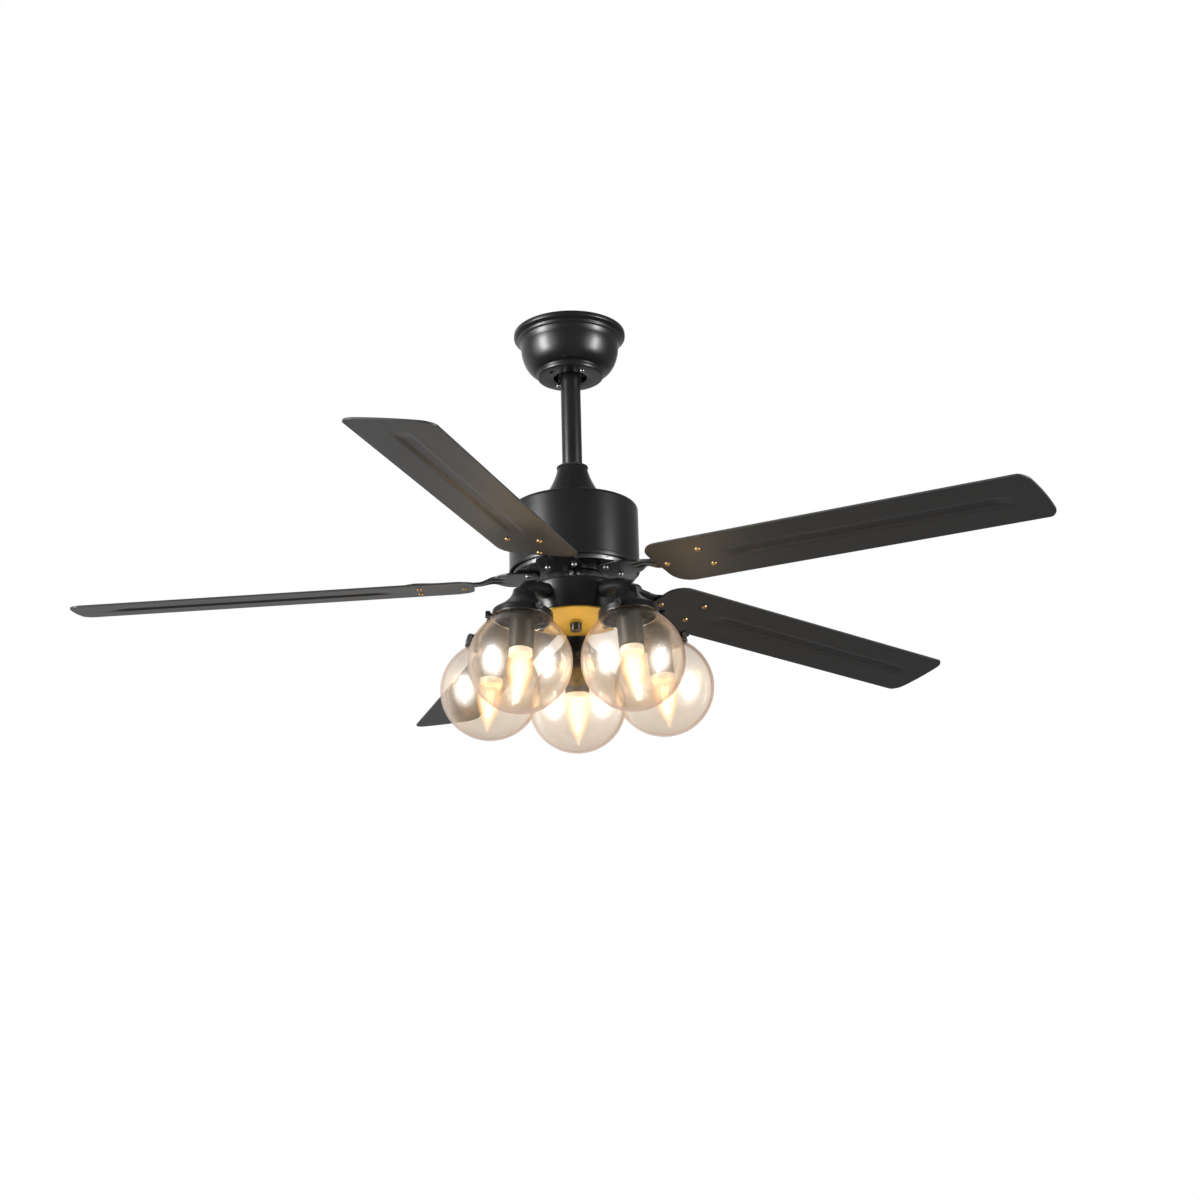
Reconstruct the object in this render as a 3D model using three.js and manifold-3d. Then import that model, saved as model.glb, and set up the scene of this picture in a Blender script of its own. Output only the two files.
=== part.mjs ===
// A five-blade ceiling fan on a short downrod, with a light kit of five glass globes under its motor.
// Millimetres, +Z up. The origin is where the fan's axis meets the ceiling, and all hangs below z = 0.
import * as THREE from "three";
import { mergeVertices } from "three/addons/utils/BufferGeometryUtils.js";
import Module from "manifold-3d";

const wasm = await Module();
wasm.setup();

// ---- Driving dimensions -------------------------------------------------------------------------

const SWEEP_RADIUS = 660; // fan axis to the middle of a blade's tip
const CEILING_TO_MOTOR = 259.5; // ceiling to the top of the motor housing
const HOUSING_RADIUS = 87.5;
const HOUSING_HEIGHT = 91;

const CLEARANCE = 0.3; // between pieces that touch
const SHEET = 1.5; // wall of the spun and pressed steel covers

const CANOPY_RIM_RADIUS = 77;
const CANOPY_BOWL_RADIUS = 70;
const CANOPY_FLOOR_RADIUS = 45.5;
const CANOPY_DEPTH = 66;
const CANOPY_HOLE_RADIUS = 23;
const CANOPY_SCREW_CIRCLE = 29.5;
const CANOPY_SCREW_ANGLE = 124; // degrees from +X to the first of the two opposite screws
const CANOPY_SCREW_RADIUS = 1.8;

const ROD_RADIUS = 13.6;
const ROD_WALL = 2.2;
const PIN_RADIUS = 3;

const BALL_RADIUS = 27;
const BALL_DROP = 40; // ceiling to the centre of the hanger ball
const BALL_TOP = 12; // centre of the ball to the flat on its top
const BALL_LIP = 1.75; // wall left at the bottom of the ball, round the rod's bore
const BALL_GAP = 0.8; // between the ball and the ring that it rocks in
const BRACKET_LENGTH = 116;
const BRACKET_WIDTH = 44;
const BRACKET_SHEET = 3;
const SEAT_RADIUS = 36; // outside of the ring that the ball sits in
const SEAT_TOP = 14; // centre of the ball to the top of that ring
const SEAT_HEIGHT = 6;

const RECEIVER_SIZE = [50, 27, 18];

const YOKE_WALL = 3.9; // the yoke's wall around the rod, with its clearance
const YOKE_RADIUS = ROD_RADIUS + YOKE_WALL;
const YOKE_HEIGHT = 44;
const YOKE_FLANGE_RADIUS = 34;
const YOKE_FLANGE = 5;
const COVER_TOP_GAP = 6.9; // rod to the outside of the cover's top, where the grommet fits
const COVER_TOP_RADIUS = ROD_RADIUS + COVER_TOP_GAP;
const COVER_BASE_RADIUS = 50;
const COVER_HEIGHT = 58;
const GROMMET_HEIGHT = 4;

const SHAFT_RADIUS = 9;
const SHAFT_BORE = 6;
const BEARING_RADIUS = 20;
const BEARING_HEIGHT = 9;
const STATOR_RADIUS = 70;
const STATOR_HEIGHT = 34;
const STATOR_SLOTS = 12;
const ROTOR_GAP = 3; // rotor to the housing that it turns in
const ROTOR_WALL = 4;
const ROTOR_HEIGHT = 74;
const ROTOR_PROUD = 6; // how far the rotor shows below the housing

const BLADES = 5;
const BLADE_START = -34.6; // degrees from +X to the first blade
const BLADE_DROP = 10; // housing's lower edge to where the blade planes meet on the axis
const BLADE_WIDTH = 106;
const BLADE_SHEET = 2.4;
const BLADE_ROOT = 134; // fan axis to the blade's root edge
const BLADE_ROOT_CORNER = 26;
const BLADE_TIP_CORNER = 16;
const BLADE_TIP_BULGE = 4; // how far the tip's corners stand back from its middle
const BLADE_OFFSET = -2; // the blade's middle line from the radius through its bracket
const BLADE_PITCH = 10.5; // degrees, the edge on the anticlockwise side lower
const BLADE_DROOP = 2.9; // degrees below the horizontal
const RIB_WIDTH = 26;
const RIB_HEIGHT = 3;
const RIB_START = 238;
const RIB_END_GAP = 40; // end of the pressed rib to the blade's tip
const BRACKET_PLATE = 3;
const FOOT_START = 46;
const FOOT_END = 97;
const FOOT_WIDTH = 54;
const NECK_WIDTH = 25;
const PADDLE_WIDTH = 80;
const PADDLE_END = 226;

const ADAPTER_RADIUS = 24;
const DRUM_RADIUS = 66;
const DRUM_DROP = 23.5; // housing's lower edge to the drum's top
const DRUM_HEIGHT = 41.5;
const CAP_DEPTH = 5;
const KNOB_RADIUS = 8;
const KNOB_HEIGHT = 10;

const LAMPS = 5;
const LAMP_START = -126; // degrees from +X to the first lamp
const GLOBE_GAP = 9.83; // between neighbouring globes
const LAMP_TILT = 6; // degrees that a lamp's axis leans out at the bottom
const GLOBE_RADIUS = 66.5;
const GLASS = 2;
const NECK_RADIUS = 35.5; // outside of the globe's neck
const NECK_RISE = 8; // the neck's length above the sphere
const CUP_RIM_RADIUS = 39.5;
const CUP_GAP = 1.267; // globe's shoulder to the cup's rim
const CUP_HEIGHT = 40;
const CUP_BAND = 9; // straight band at the cup's rim
const CUP_TOP_RADIUS = 14;
const ARM_RADIUS = 10;
const ARM_DROP = 17; // drum's top to the arm's axis
const ARM_HOLE_GAP = 0.8; // between an arm and its hole in the drum
const ARM_FALL = 11.53; // arm's axis at the drum to the cup's crown
const SOCKET_RADIUS = 16.5;
const SOCKET_LENGTH = 76;
const SOCKET_GAP = 1.5; // under the cup's crown, for the arm's end
const SOCKET_TAPER = 16;
const SOCKET_BORE = 9;
const BULB_COLLAR_RADIUS = 15;
const BULB_RADIUS = 17.5;
const BULB_COLLAR_LENGTH = 17;
const BULB_FLAME_LENGTH = 57;
const BULB_CAP_LENGTH = 26;
const THUMB_RADIUS = 2; // shank
const THUMB_HEAD_RADIUS = 5;
const THUMB_HEAD = 6;
const THUMB_LIFT = 5; // cup's rim to the thumbscrew's axis
const THUMB_ANGLE = -54; // degrees from straight out to the modelled thumbscrew

// ---- Heights that follow from them --------------------------------------------------------------

const HOUSING_TOP_Z = -CEILING_TO_MOTOR;
const HOUSING_BASE_Z = HOUSING_TOP_Z - HOUSING_HEIGHT;
const BLADE_Z = HOUSING_BASE_Z - BLADE_DROP;
const BALL_Z = -BALL_DROP;
const BALL_BOTTOM = Math.sqrt(BALL_RADIUS ** 2 - (ROD_RADIUS + CLEARANCE + BALL_LIP) ** 2);
const YOKE_TOP_Z = HOUSING_TOP_Z + YOKE_HEIGHT;
const YOKE_PIN_Z = HOUSING_TOP_Z + YOKE_HEIGHT * 0.6;
const ROD_BASE_Z = HOUSING_TOP_Z + YOKE_FLANGE + 4;
const COVER_BASE_Z = HOUSING_TOP_Z + CLEARANCE;
const COVER_TOP_Z = COVER_BASE_Z + COVER_HEIGHT;
const ROTOR_BASE_Z = HOUSING_BASE_Z - ROTOR_PROUD;
const ROTOR_TOP_Z = ROTOR_BASE_Z + ROTOR_HEIGHT;
const ROTOR_RADIUS = HOUSING_RADIUS - SHEET - ROTOR_GAP;
const FOOT_Z = ROTOR_BASE_Z - CLEARANCE - BRACKET_PLATE / 2;
const DRUM_TOP_Z = HOUSING_BASE_Z - DRUM_DROP;
const DRUM_BASE_Z = DRUM_TOP_Z - DRUM_HEIGHT;
const CAP_BASE_Z = DRUM_BASE_Z - CAP_DEPTH;
const ARM_Z = DRUM_TOP_Z - ARM_DROP;

// A lamp's own heights, from the globe's centre up its axis.
const SHOULDER = Math.sqrt(GLOBE_RADIUS ** 2 - NECK_RADIUS ** 2);
const CUP_BASE = SHOULDER + CUP_GAP;
const CUP_CROWN = CUP_BASE + CUP_HEIGHT;
const CUP_ROOF = CUP_CROWN - 2 * SHEET;
const SOCKET_TOP = CUP_ROOF - SOCKET_GAP;
const SOCKET_BASE = SOCKET_TOP - SOCKET_LENGTH;
const FLAME_TOP = SOCKET_BASE - BULB_COLLAR_LENGTH;

const LAMP_CIRCLE = (GLOBE_RADIUS + GLOBE_GAP / 2) / Math.sin(Math.PI / LAMPS);
const LAMP_Z = ARM_Z - ARM_FALL - CUP_CROWN * Math.cos(THREE.MathUtils.degToRad(LAMP_TILT));

// ---- Making solids ------------------------------------------------------------------------------

const BIG_ROUND = 24; // sides of the large turned pieces
const GLOBE_ROUND = 16;
const SMALL_ROUND = 10;

const turn = (angle) => THREE.MathUtils.degToRad(angle);
const degrees = (radians) => THREE.MathUtils.radToDeg(radians);
const at = (x, y, z) => new THREE.Matrix4().makeTranslation(x, y, z);

// A closed geometry as a manifold solid, moved by a matrix.
function solid(geometry, matrix = new THREE.Matrix4()) {
  const bare = new THREE.BufferGeometry();
  bare.setAttribute("position", geometry.getAttribute("position").clone());
  bare.setIndex(geometry.getIndex());
  const merged = mergeVertices(bare.applyMatrix4(matrix), 1e-4);
  return new wasm.Manifold(
    new wasm.Mesh({
      numProp: 3,
      vertProperties: new Float32Array(merged.getAttribute("position").array),
      triVerts: new Uint32Array(merged.getIndex().array),
    }),
  );
}

// A manifold solid as a flat-shaded geometry.
function geometryOf(made) {
  const mesh = made.getMesh();
  const geometry = new THREE.BufferGeometry();
  geometry.setAttribute("position", new THREE.BufferAttribute(mesh.vertProperties, 3));
  geometry.setIndex(new THREE.BufferAttribute(mesh.triVerts, 1));
  return geometry;
}

// A piece turned about Z from its closed outline of [radius, height] points, in either direction.
function turned(outline, sides) {
  const points = outline.map(([radius, height]) => new THREE.Vector2(radius, height));
  if (THREE.ShapeUtils.isClockWise(points)) points.reverse();
  const touchesAxis = points.some((point) => point.x === 0);
  if (touchesAxis) {
    // Start the profile on the axis, and leave the stretch along the axis out.
    while (!(points[0].x === 0 && points[points.length - 1].x === 0)) points.push(points.shift());
  } else {
    points.push(points[0].clone());
  }
  return solid(new THREE.LatheGeometry(points, sides).rotateX(Math.PI / 2));
}

// A tube or disc about Z, from the inner radius to the outer one and between two heights.
function ring(inner, outer, base, top, sides = BIG_ROUND) {
  return turned([[inner, base], [outer, base], [outer, top], [inner, top]], sides);
}

// A round bar of a radius along a line between two points.
function bar(radius, start, end, sides = SMALL_ROUND) {
  const line = new THREE.Vector3().subVectors(end, start);
  const turnTo = new THREE.Quaternion().setFromUnitVectors(
    new THREE.Vector3(0, 1, 0),
    line.clone().normalize(),
  );
  const middle = start.clone().addScaledVector(line, 0.5);
  const matrix = new THREE.Matrix4().compose(middle, turnTo, new THREE.Vector3(1, 1, 1));
  return solid(new THREE.CylinderGeometry(radius, radius, line.length(), sides), matrix);
}

function block(width, depth, height, x, y, z) {
  return solid(new THREE.BoxGeometry(width, depth, height), at(x, y, z));
}

// Points of [radius, height] along an arc about a centre, between two angles in degrees.
function arc(centreRadius, centreHeight, radius, from, to, steps) {
  return Array.from({ length: steps + 1 }, (_, i) => {
    const angle = turn(from + ((to - from) * i) / steps);
    return [centreRadius + radius * Math.cos(angle), centreHeight + radius * Math.sin(angle)];
  });
}

// A sheet swept through stations, each a row of points across it, its lower face first: the rows
// have one length, and the row's points run round the section.
function swept(rows) {
  const around = rows[0].length;
  const positions = rows.flat().flatMap((point) => point.toArray());
  const index = [];
  for (let i = 0; i + 1 < rows.length; i++) {
    for (let j = 0; j < around; j++) {
      const a = i * around + j;
      const b = i * around + ((j + 1) % around);
      index.push(a, b, b + around, a, b + around, a + around);
    }
  }
  // Each end is closed by a strip between the section's lower and upper points.
  for (const [row, outward] of [[0, false], [rows.length - 1, true]]) {
    const first = row * around;
    for (let j = 0; j < around / 2 - 1; j++) {
      const quad = [first + j, first + j + 1, first + around - 2 - j, first + around - 1 - j];
      if (!outward) quad.reverse();
      index.push(quad[0], quad[1], quad[2], quad[0], quad[2], quad[3]);
    }
  }
  const geometry = new THREE.BufferGeometry();
  geometry.setAttribute("position", new THREE.Float32BufferAttribute(positions, 3));
  geometry.setIndex(index);
  return solid(geometry);
}

// ---- The object ---------------------------------------------------------------------------------

const fan = new THREE.Group();

const FINISHES = {
  black_paint: { color: 0x242424, roughness: 0.45, metalness: 0.3 },
  black_blade: { color: 0x2b2a29, roughness: 0.55, metalness: 0.2 },
  zinc_steel: { color: 0x9a9c9e, roughness: 0.4, metalness: 1 },
  rubber: { color: 0x0c0c0c, roughness: 0.8, metalness: 0 },
  windings: { color: 0x7a3d1c, roughness: 0.5, metalness: 0.6 },
  black_plastic: { color: 0x161616, roughness: 0.5, metalness: 0 },
  amber_glass: { color: 0xd9a979, roughness: 0.05, metalness: 0 },
  warm_bulb: { color: 0xffe2a8, roughness: 0.2, metalness: 0 },
};

// Adds one named piece to a group.
function add(name, made, finish, group = fan) {
  const mesh = new THREE.Mesh(geometryOf(made), new THREE.MeshStandardMaterial(FINISHES[finish]));
  mesh.name = name;
  group.add(mesh);
}

// ---- Ceiling fixings ----------------------------------------------------------------------------

function canopyScrewPlaces() {
  return [0, 180].map((half) => {
    const angle = turn(CANOPY_SCREW_ANGLE + half);
    return [CANOPY_SCREW_CIRCLE * Math.cos(angle), CANOPY_SCREW_CIRCLE * Math.sin(angle)];
  });
}

// A spun bowl with a rolled rim, a step under it and a flat floor with a hole for the rod.
function canopy() {
  const floor = -CANOPY_DEPTH;
  const top = -CLEARANCE;
  const step = CANOPY_BOWL_RADIUS;
  const shoulder = step - 3;
  const outside = [
    [CANOPY_HOLE_RADIUS, floor],
    [CANOPY_FLOOR_RADIUS - 2.5, floor],
    [CANOPY_FLOOR_RADIUS, floor + 2.5],
    [CANOPY_FLOOR_RADIUS + (shoulder - CANOPY_FLOOR_RADIUS) * 0.3, floor + CANOPY_DEPTH * 0.1],
    [CANOPY_FLOOR_RADIUS + (shoulder - CANOPY_FLOOR_RADIUS) * 0.65, floor + CANOPY_DEPTH * 0.27],
    [CANOPY_FLOOR_RADIUS + (shoulder - CANOPY_FLOOR_RADIUS) * 0.9, floor + CANOPY_DEPTH * 0.48],
    [shoulder, floor + CANOPY_DEPTH * 0.72],
    [step, floor + CANOPY_DEPTH * 0.79],
    [step + 1, floor + CANOPY_DEPTH * 0.83],
    [CANOPY_RIM_RADIUS - 2, floor + CANOPY_DEPTH * 0.86],
    [CANOPY_RIM_RADIUS, floor + CANOPY_DEPTH * 0.91],
    [CANOPY_RIM_RADIUS, top],
  ];
  const inside = outside
    .map(([radius, height]) => [radius - SHEET, height + SHEET])
    .slice(2, -1)
    .reverse();
  const shell = turned(
    [...outside, [CANOPY_RIM_RADIUS - SHEET, top], ...inside, [CANOPY_HOLE_RADIUS, floor + SHEET]],
    BIG_ROUND,
  );
  return canopyScrewPlaces().reduce(
    (made, [x, y]) => made.subtract(
      bar(
        CANOPY_SCREW_RADIUS + CLEARANCE,
        new THREE.Vector3(x, y, floor - 1),
        new THREE.Vector3(x, y, floor + SHEET + 1),
      ),
    ),
    shell,
  );
}

// A ceiling plate with two legs that carry the open ring in which the ball hangs.
function hangerBracket() {
  const seatTop = BALL_Z - SEAT_TOP;
  const seatBase = seatTop - SEAT_HEIGHT;
  const ballAt = (height) => Math.sqrt(BALL_RADIUS ** 2 - (height - BALL_Z) ** 2) + BALL_GAP;
  const seat = turned(
    [
      [ballAt(seatBase), seatBase],
      [SEAT_RADIUS, seatBase],
      [SEAT_RADIUS, seatTop],
      [ballAt(seatTop), seatTop],
    ],
    BIG_ROUND,
  );
  const mouth = 2 * (ROD_RADIUS + 2);
  const reach = SEAT_RADIUS + 1;
  const slot = block(mouth, reach, SEAT_HEIGHT + 2, 0, reach / 2, seatBase + SEAT_HEIGHT / 2);
  const plate = block(BRACKET_LENGTH, BRACKET_WIDTH, BRACKET_SHEET, 0, 0, -BRACKET_SHEET / 2);
  const legHeight = -seatBase;
  let made = seat.subtract(slot).add(plate);
  for (const side of [-1, 1]) {
    const x = side * (SEAT_RADIUS - BRACKET_SHEET / 2);
    made = made.add(block(BRACKET_SHEET, BRACKET_WIDTH / 2, legHeight, x, 0, -legHeight / 2));
  }
  for (const [x, y] of canopyScrewPlaces()) {
    made = made.subtract(
      bar(
        CANOPY_SCREW_RADIUS + CLEARANCE,
        new THREE.Vector3(x, y, seatBase - 1),
        new THREE.Vector3(x, y, seatTop + 1),
      ),
    );
  }
  return made;
}

function canopyScrew(x, y) {
  const floor = -CANOPY_DEPTH - CLEARANCE;
  const tip = BALL_Z - SEAT_TOP - SEAT_HEIGHT / 2;
  const head = 2 * CANOPY_SCREW_RADIUS;
  const shape = turned(
    [
      [0, floor - 2.4],
      [head - 1, floor - 2.2],
      [head, floor - 1],
      [head, floor],
      [CANOPY_SCREW_RADIUS, floor],
      [CANOPY_SCREW_RADIUS, tip],
      [0, tip],
    ],
    SMALL_ROUND,
  );
  return shape.translate([x, y, 0]);
}

function receiver() {
  const [width, depth, height] = RECEIVER_SIZE;
  const y = -(BALL_RADIUS + 1.5 + depth / 2);
  return block(width, depth, height, 0, y, -BRACKET_SHEET - CLEARANCE - height / 2);
}

// ---- Downrod and coupling -----------------------------------------------------------------------

function pinHole(z) {
  const reach = new THREE.Vector3(60, 0, z);
  return bar(PIN_RADIUS + CLEARANCE, new THREE.Vector3(-60, 0, z), reach);
}

function pinAt(z, halfLength) {
  return bar(PIN_RADIUS, new THREE.Vector3(-halfLength, 0, z), new THREE.Vector3(halfLength, 0, z));
}

function hangerBall() {
  const lowest = -degrees(Math.asin(BALL_BOTTOM / BALL_RADIUS));
  const highest = degrees(Math.asin(BALL_TOP / BALL_RADIUS));
  const skin = arc(0, BALL_Z, BALL_RADIUS, lowest, highest, 5);
  const bore = ROD_RADIUS + CLEARANCE;
  const outline = [[bore, BALL_Z - BALL_BOTTOM], ...skin, [bore, BALL_Z + BALL_TOP]];
  return turned(outline, BIG_ROUND).subtract(pinHole(BALL_Z));
}

function downrod() {
  return ring(ROD_RADIUS - ROD_WALL, ROD_RADIUS, ROD_BASE_Z, BALL_Z + BALL_TOP + 2, 24)
    .subtract(pinHole(BALL_Z))
    .subtract(pinHole(YOKE_PIN_Z));
}

// A socket for the rod on a flange that is bolted through the housing's top to the shaft.
function yoke() {
  const bore = ROD_RADIUS + CLEARANCE;
  const base = HOUSING_TOP_Z + CLEARANCE;
  return turned(
    [
      [SHAFT_RADIUS + CLEARANCE, base],
      [YOKE_FLANGE_RADIUS, base],
      [YOKE_FLANGE_RADIUS, base + YOKE_FLANGE],
      [YOKE_RADIUS, base + YOKE_FLANGE + 2],
      [YOKE_RADIUS, YOKE_TOP_Z],
      [bore, YOKE_TOP_Z],
      [bore, ROD_BASE_Z - CLEARANCE],
      [SHAFT_RADIUS + CLEARANCE, ROD_BASE_Z - CLEARANCE],
    ],
    BIG_ROUND,
  ).subtract(pinHole(YOKE_PIN_Z));
}

// A trumpet-shaped cover, loose on the rod, that stands on the housing and hides the yoke.
function couplingCover() {
  const steps = 4;
  const flare = COVER_BASE_RADIUS - COVER_TOP_RADIUS;
  const outside = Array.from({ length: steps + 1 }, (_, i) => {
    const share = i / steps;
    return [COVER_TOP_RADIUS + flare * (1 - share) ** 1.45, COVER_BASE_Z + COVER_HEIGHT * share];
  });
  const inside = outside
    .slice(0, -1)
    .map(([radius, height]) => [radius - SHEET, height])
    .reverse();
  const lip = ROD_RADIUS + GROMMET_HEIGHT / 2 + 2 * CLEARANCE;
  const underLip = [
    [lip, COVER_TOP_Z],
    [lip, COVER_TOP_Z - SHEET],
    [COVER_TOP_RADIUS - SHEET, COVER_TOP_Z - SHEET],
  ];
  return turned([...outside, ...underLip, ...inside], BIG_ROUND);
}

// A rubber ring that seats on the cover's lip and keeps it from rattling on the rod.
function coverGrommet() {
  const hole = ROD_RADIUS + CLEARANCE;
  const base = COVER_TOP_Z + CLEARANCE;
  const neck = ROD_RADIUS + GROMMET_HEIGHT / 2 + CLEARANCE;
  const brim = COVER_TOP_RADIUS + 0.8;
  return turned(
    [
      [hole, base - 2 * SHEET],
      [neck, base - 2 * SHEET],
      [neck, base],
      [brim, base],
      [brim, base + GROMMET_HEIGHT / 2],
      [hole, base + GROMMET_HEIGHT],
    ],
    BIG_ROUND,
  );
}

// ---- Motor --------------------------------------------------------------------------------------

function motorHousing() {
  const corner = 6;
  const innerCorner = arc(
    HOUSING_RADIUS - corner,
    HOUSING_TOP_Z - corner,
    corner - SHEET,
    90,
    0,
    3,
  );
  return turned(
    [
      [HOUSING_RADIUS - SHEET, HOUSING_BASE_Z],
      [HOUSING_RADIUS, HOUSING_BASE_Z],
      ...arc(HOUSING_RADIUS - corner, HOUSING_TOP_Z - corner, corner, 0, 90, 4),
      [SHAFT_RADIUS + CLEARANCE, HOUSING_TOP_Z],
      [SHAFT_RADIUS + CLEARANCE, HOUSING_TOP_Z - SHEET],
      ...innerCorner,
    ],
    BIG_ROUND,
  );
}

// The hollow shaft carries the wires from the rod to the light kit, and it does not turn.
function motorShaft() {
  return ring(SHAFT_BORE, SHAFT_RADIUS, DRUM_TOP_Z + 1, ROD_BASE_Z - 2 * CLEARANCE, 24);
}

function stator() {
  const middle = (ROTOR_BASE_Z + ROTOR_TOP_Z) / 2;
  const base = middle - STATOR_HEIGHT / 2;
  let made = ring(SHAFT_RADIUS + CLEARANCE, STATOR_RADIUS, base, base + STATOR_HEIGHT);
  const slot = new THREE.BoxGeometry(26, 7, STATOR_HEIGHT + 2);
  for (let i = 0; i < STATOR_SLOTS; i++) {
    const place = new THREE.Matrix4()
      .makeRotationZ(turn((360 * i) / STATOR_SLOTS))
      .multiply(at(STATOR_RADIUS - 8, 0, middle));
    made = made.subtract(solid(slot, place));
  }
  return made;
}

function bearing(base) {
  return ring(SHAFT_RADIUS + CLEARANCE, BEARING_RADIUS, base, base + BEARING_HEIGHT, 24);
}

// The lower half of the rotor: a pan whose floor holds the lower bearing and the blade brackets.
function rotorPan() {
  const seat = BEARING_RADIUS + CLEARANCE;
  const floor = ROTOR_BASE_Z + ROTOR_WALL;
  const lip = 2; // what the bearing stands on
  return turned(
    [
      [BEARING_RADIUS - 4, ROTOR_BASE_Z],
      [ROTOR_RADIUS - 2, ROTOR_BASE_Z],
      [ROTOR_RADIUS, ROTOR_BASE_Z + 2],
      [ROTOR_RADIUS, ROTOR_TOP_Z - ROTOR_WALL - CLEARANCE],
      [ROTOR_RADIUS - ROTOR_WALL, ROTOR_TOP_Z - ROTOR_WALL - CLEARANCE],
      [ROTOR_RADIUS - ROTOR_WALL, floor],
      [seat + ROTOR_WALL, floor],
      [seat + ROTOR_WALL, ROTOR_BASE_Z + lip + BEARING_HEIGHT],
      [seat, ROTOR_BASE_Z + lip + BEARING_HEIGHT],
      [seat, ROTOR_BASE_Z + lip],
      [BEARING_RADIUS - 4, ROTOR_BASE_Z + lip],
    ],
    BIG_ROUND,
  );
}

// The upper half of the rotor: a lid with the upper bearing's seat.
function rotorLid() {
  const seat = BEARING_RADIUS + CLEARANCE;
  const base = ROTOR_TOP_Z - ROTOR_WALL;
  return turned(
    [
      [seat, base - 8],
      [seat + ROTOR_WALL, base - 8],
      [seat + ROTOR_WALL, base],
      [ROTOR_RADIUS, base],
      [ROTOR_RADIUS, ROTOR_TOP_Z],
      [BEARING_RADIUS - 4, ROTOR_TOP_Z],
      [BEARING_RADIUS - 4, ROTOR_TOP_Z - 2],
      [seat, ROTOR_TOP_Z - 2],
    ],
    BIG_ROUND,
  );
}

// ---- Blades -------------------------------------------------------------------------------------

// Half the blade's width at a distance s from the fan axis, less what its round corners take away.
function bladeHalf(s) {
  const half = BLADE_WIDTH / 2;
  for (const [fromEnd, corner] of [
    [s - BLADE_ROOT, BLADE_ROOT_CORNER],
    [SWEEP_RADIUS - s, BLADE_TIP_CORNER],
  ]) {
    if (fromEnd < corner) return half - corner + Math.sqrt(corner ** 2 - (corner - fromEnd) ** 2);
  }
  return half;
}

// Height of the pressed rib above the sheet, at s along the blade and w across it.
function ribHeight(s, w) {
  const along = Math.min((s - RIB_START) / RIB_WIDTH, (SWEEP_RADIUS - RIB_END_GAP - s) / RIB_WIDTH, 1);
  const across = 1 - Math.abs(w) / (RIB_WIDTH / 2);
  return along <= 0 || across <= 0 ? 0 : RIB_HEIGHT * Math.min(along, Math.min(1, 2 * across));
}

// A blade in its own plane: x runs out along the blade and y across it.
function blade() {
  const corner = Array.from({ length: 5 }, (_, i) => 1 - Math.cos(turn(22.5 * i)));
  const ribEnd = SWEEP_RADIUS - RIB_END_GAP;
  const stations = [
    ...corner.map((step) => BLADE_ROOT + step * BLADE_ROOT_CORNER),
    RIB_START,
    RIB_START + RIB_WIDTH,
    (RIB_START + ribEnd) / 2,
    ribEnd - RIB_WIDTH,
    ribEnd,
    ...corner.map((step) => SWEEP_RADIUS - step * BLADE_TIP_CORNER).reverse(),
  ];
  const rows = stations.map((s) => {
    const half = bladeHalf(s);
    const ribSide = RIB_WIDTH / 2;
    const across = [-half, -ribSide, -ribSide / 2, ribSide / 2, ribSide, half];
    const bulge = (w) => {
      const share = Math.max(0, (s - SWEEP_RADIUS + BLADE_TIP_CORNER) / BLADE_TIP_CORNER);
      return -share * BLADE_TIP_BULGE * (w / (BLADE_WIDTH / 2)) ** 2;
    };
    const face = (offset) => across.map(
      (w) => new THREE.Vector3(s + bulge(w), w + BLADE_OFFSET, ribHeight(s, w) + offset),
    );
    return [...face(-BLADE_SHEET / 2), ...face(BLADE_SHEET / 2).reverse()];
  });
  return swept(rows);
}

// Places a point of the blade's own plane in the frame of its radius.
function bladePlane() {
  const pitch = new THREE.Matrix4().makeRotationX(-turn(BLADE_PITCH));
  const droop = new THREE.Matrix4().makeRotationY(turn(BLADE_DROOP));
  return at(0, 0, BLADE_Z).multiply(droop).multiply(pitch);
}

// A pressed arm: a flat foot under the rotor, a twisted neck, and a paddle on top of the blade.
function bladeBracket() {
  const neckStart = FOOT_END + 8;
  const neckEnd = BLADE_ROOT - 6;
  const profile = [
    [FOOT_START, FOOT_WIDTH * 0.28],
    [FOOT_START + 4, FOOT_WIDTH * 0.42],
    [FOOT_START + 11, FOOT_WIDTH * 0.5],
    [FOOT_END - 10, FOOT_WIDTH * 0.5],
    [FOOT_END, FOOT_WIDTH * 0.4],
    [neckStart, NECK_WIDTH * 0.55],
    [(neckStart * 2 + neckEnd) / 3, NECK_WIDTH / 2],
    [(neckStart + neckEnd * 2) / 3, NECK_WIDTH / 2],
    [neckEnd, NECK_WIDTH / 2],
    [BLADE_ROOT + 6, NECK_WIDTH * 0.7],
    [BLADE_ROOT + 20, NECK_WIDTH * 0.9],
    [PADDLE_END - 36, PADDLE_WIDTH * 0.42],
    [PADDLE_END - 18, PADDLE_WIDTH / 2],
    [PADDLE_END - 8, PADDLE_WIDTH * 0.48],
    [PADDLE_END, PADDLE_WIDTH * 0.36],
  ];
  const onBlade = bladePlane();
  const lift = BLADE_SHEET / 2 + CLEARANCE + BRACKET_PLATE / 2;
  const rows = profile.map(([s, half]) => {
    const share = THREE.MathUtils.smoothstep(s, neckStart, neckEnd);
    const corner = (w, up) => {
      const flat = new THREE.Vector3(s, w, FOOT_Z + up);
      const pitched = new THREE.Vector3(s, w + BLADE_OFFSET, lift + up).applyMatrix4(onBlade);
      return flat.lerp(pitched, share);
    };
    const t = BRACKET_PLATE / 2;
    return [corner(-half, -t), corner(half, -t), corner(half, t), corner(-half, t)];
  });
  return swept(rows);
}

// ---- Light kit ----------------------------------------------------------------------------------

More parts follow.
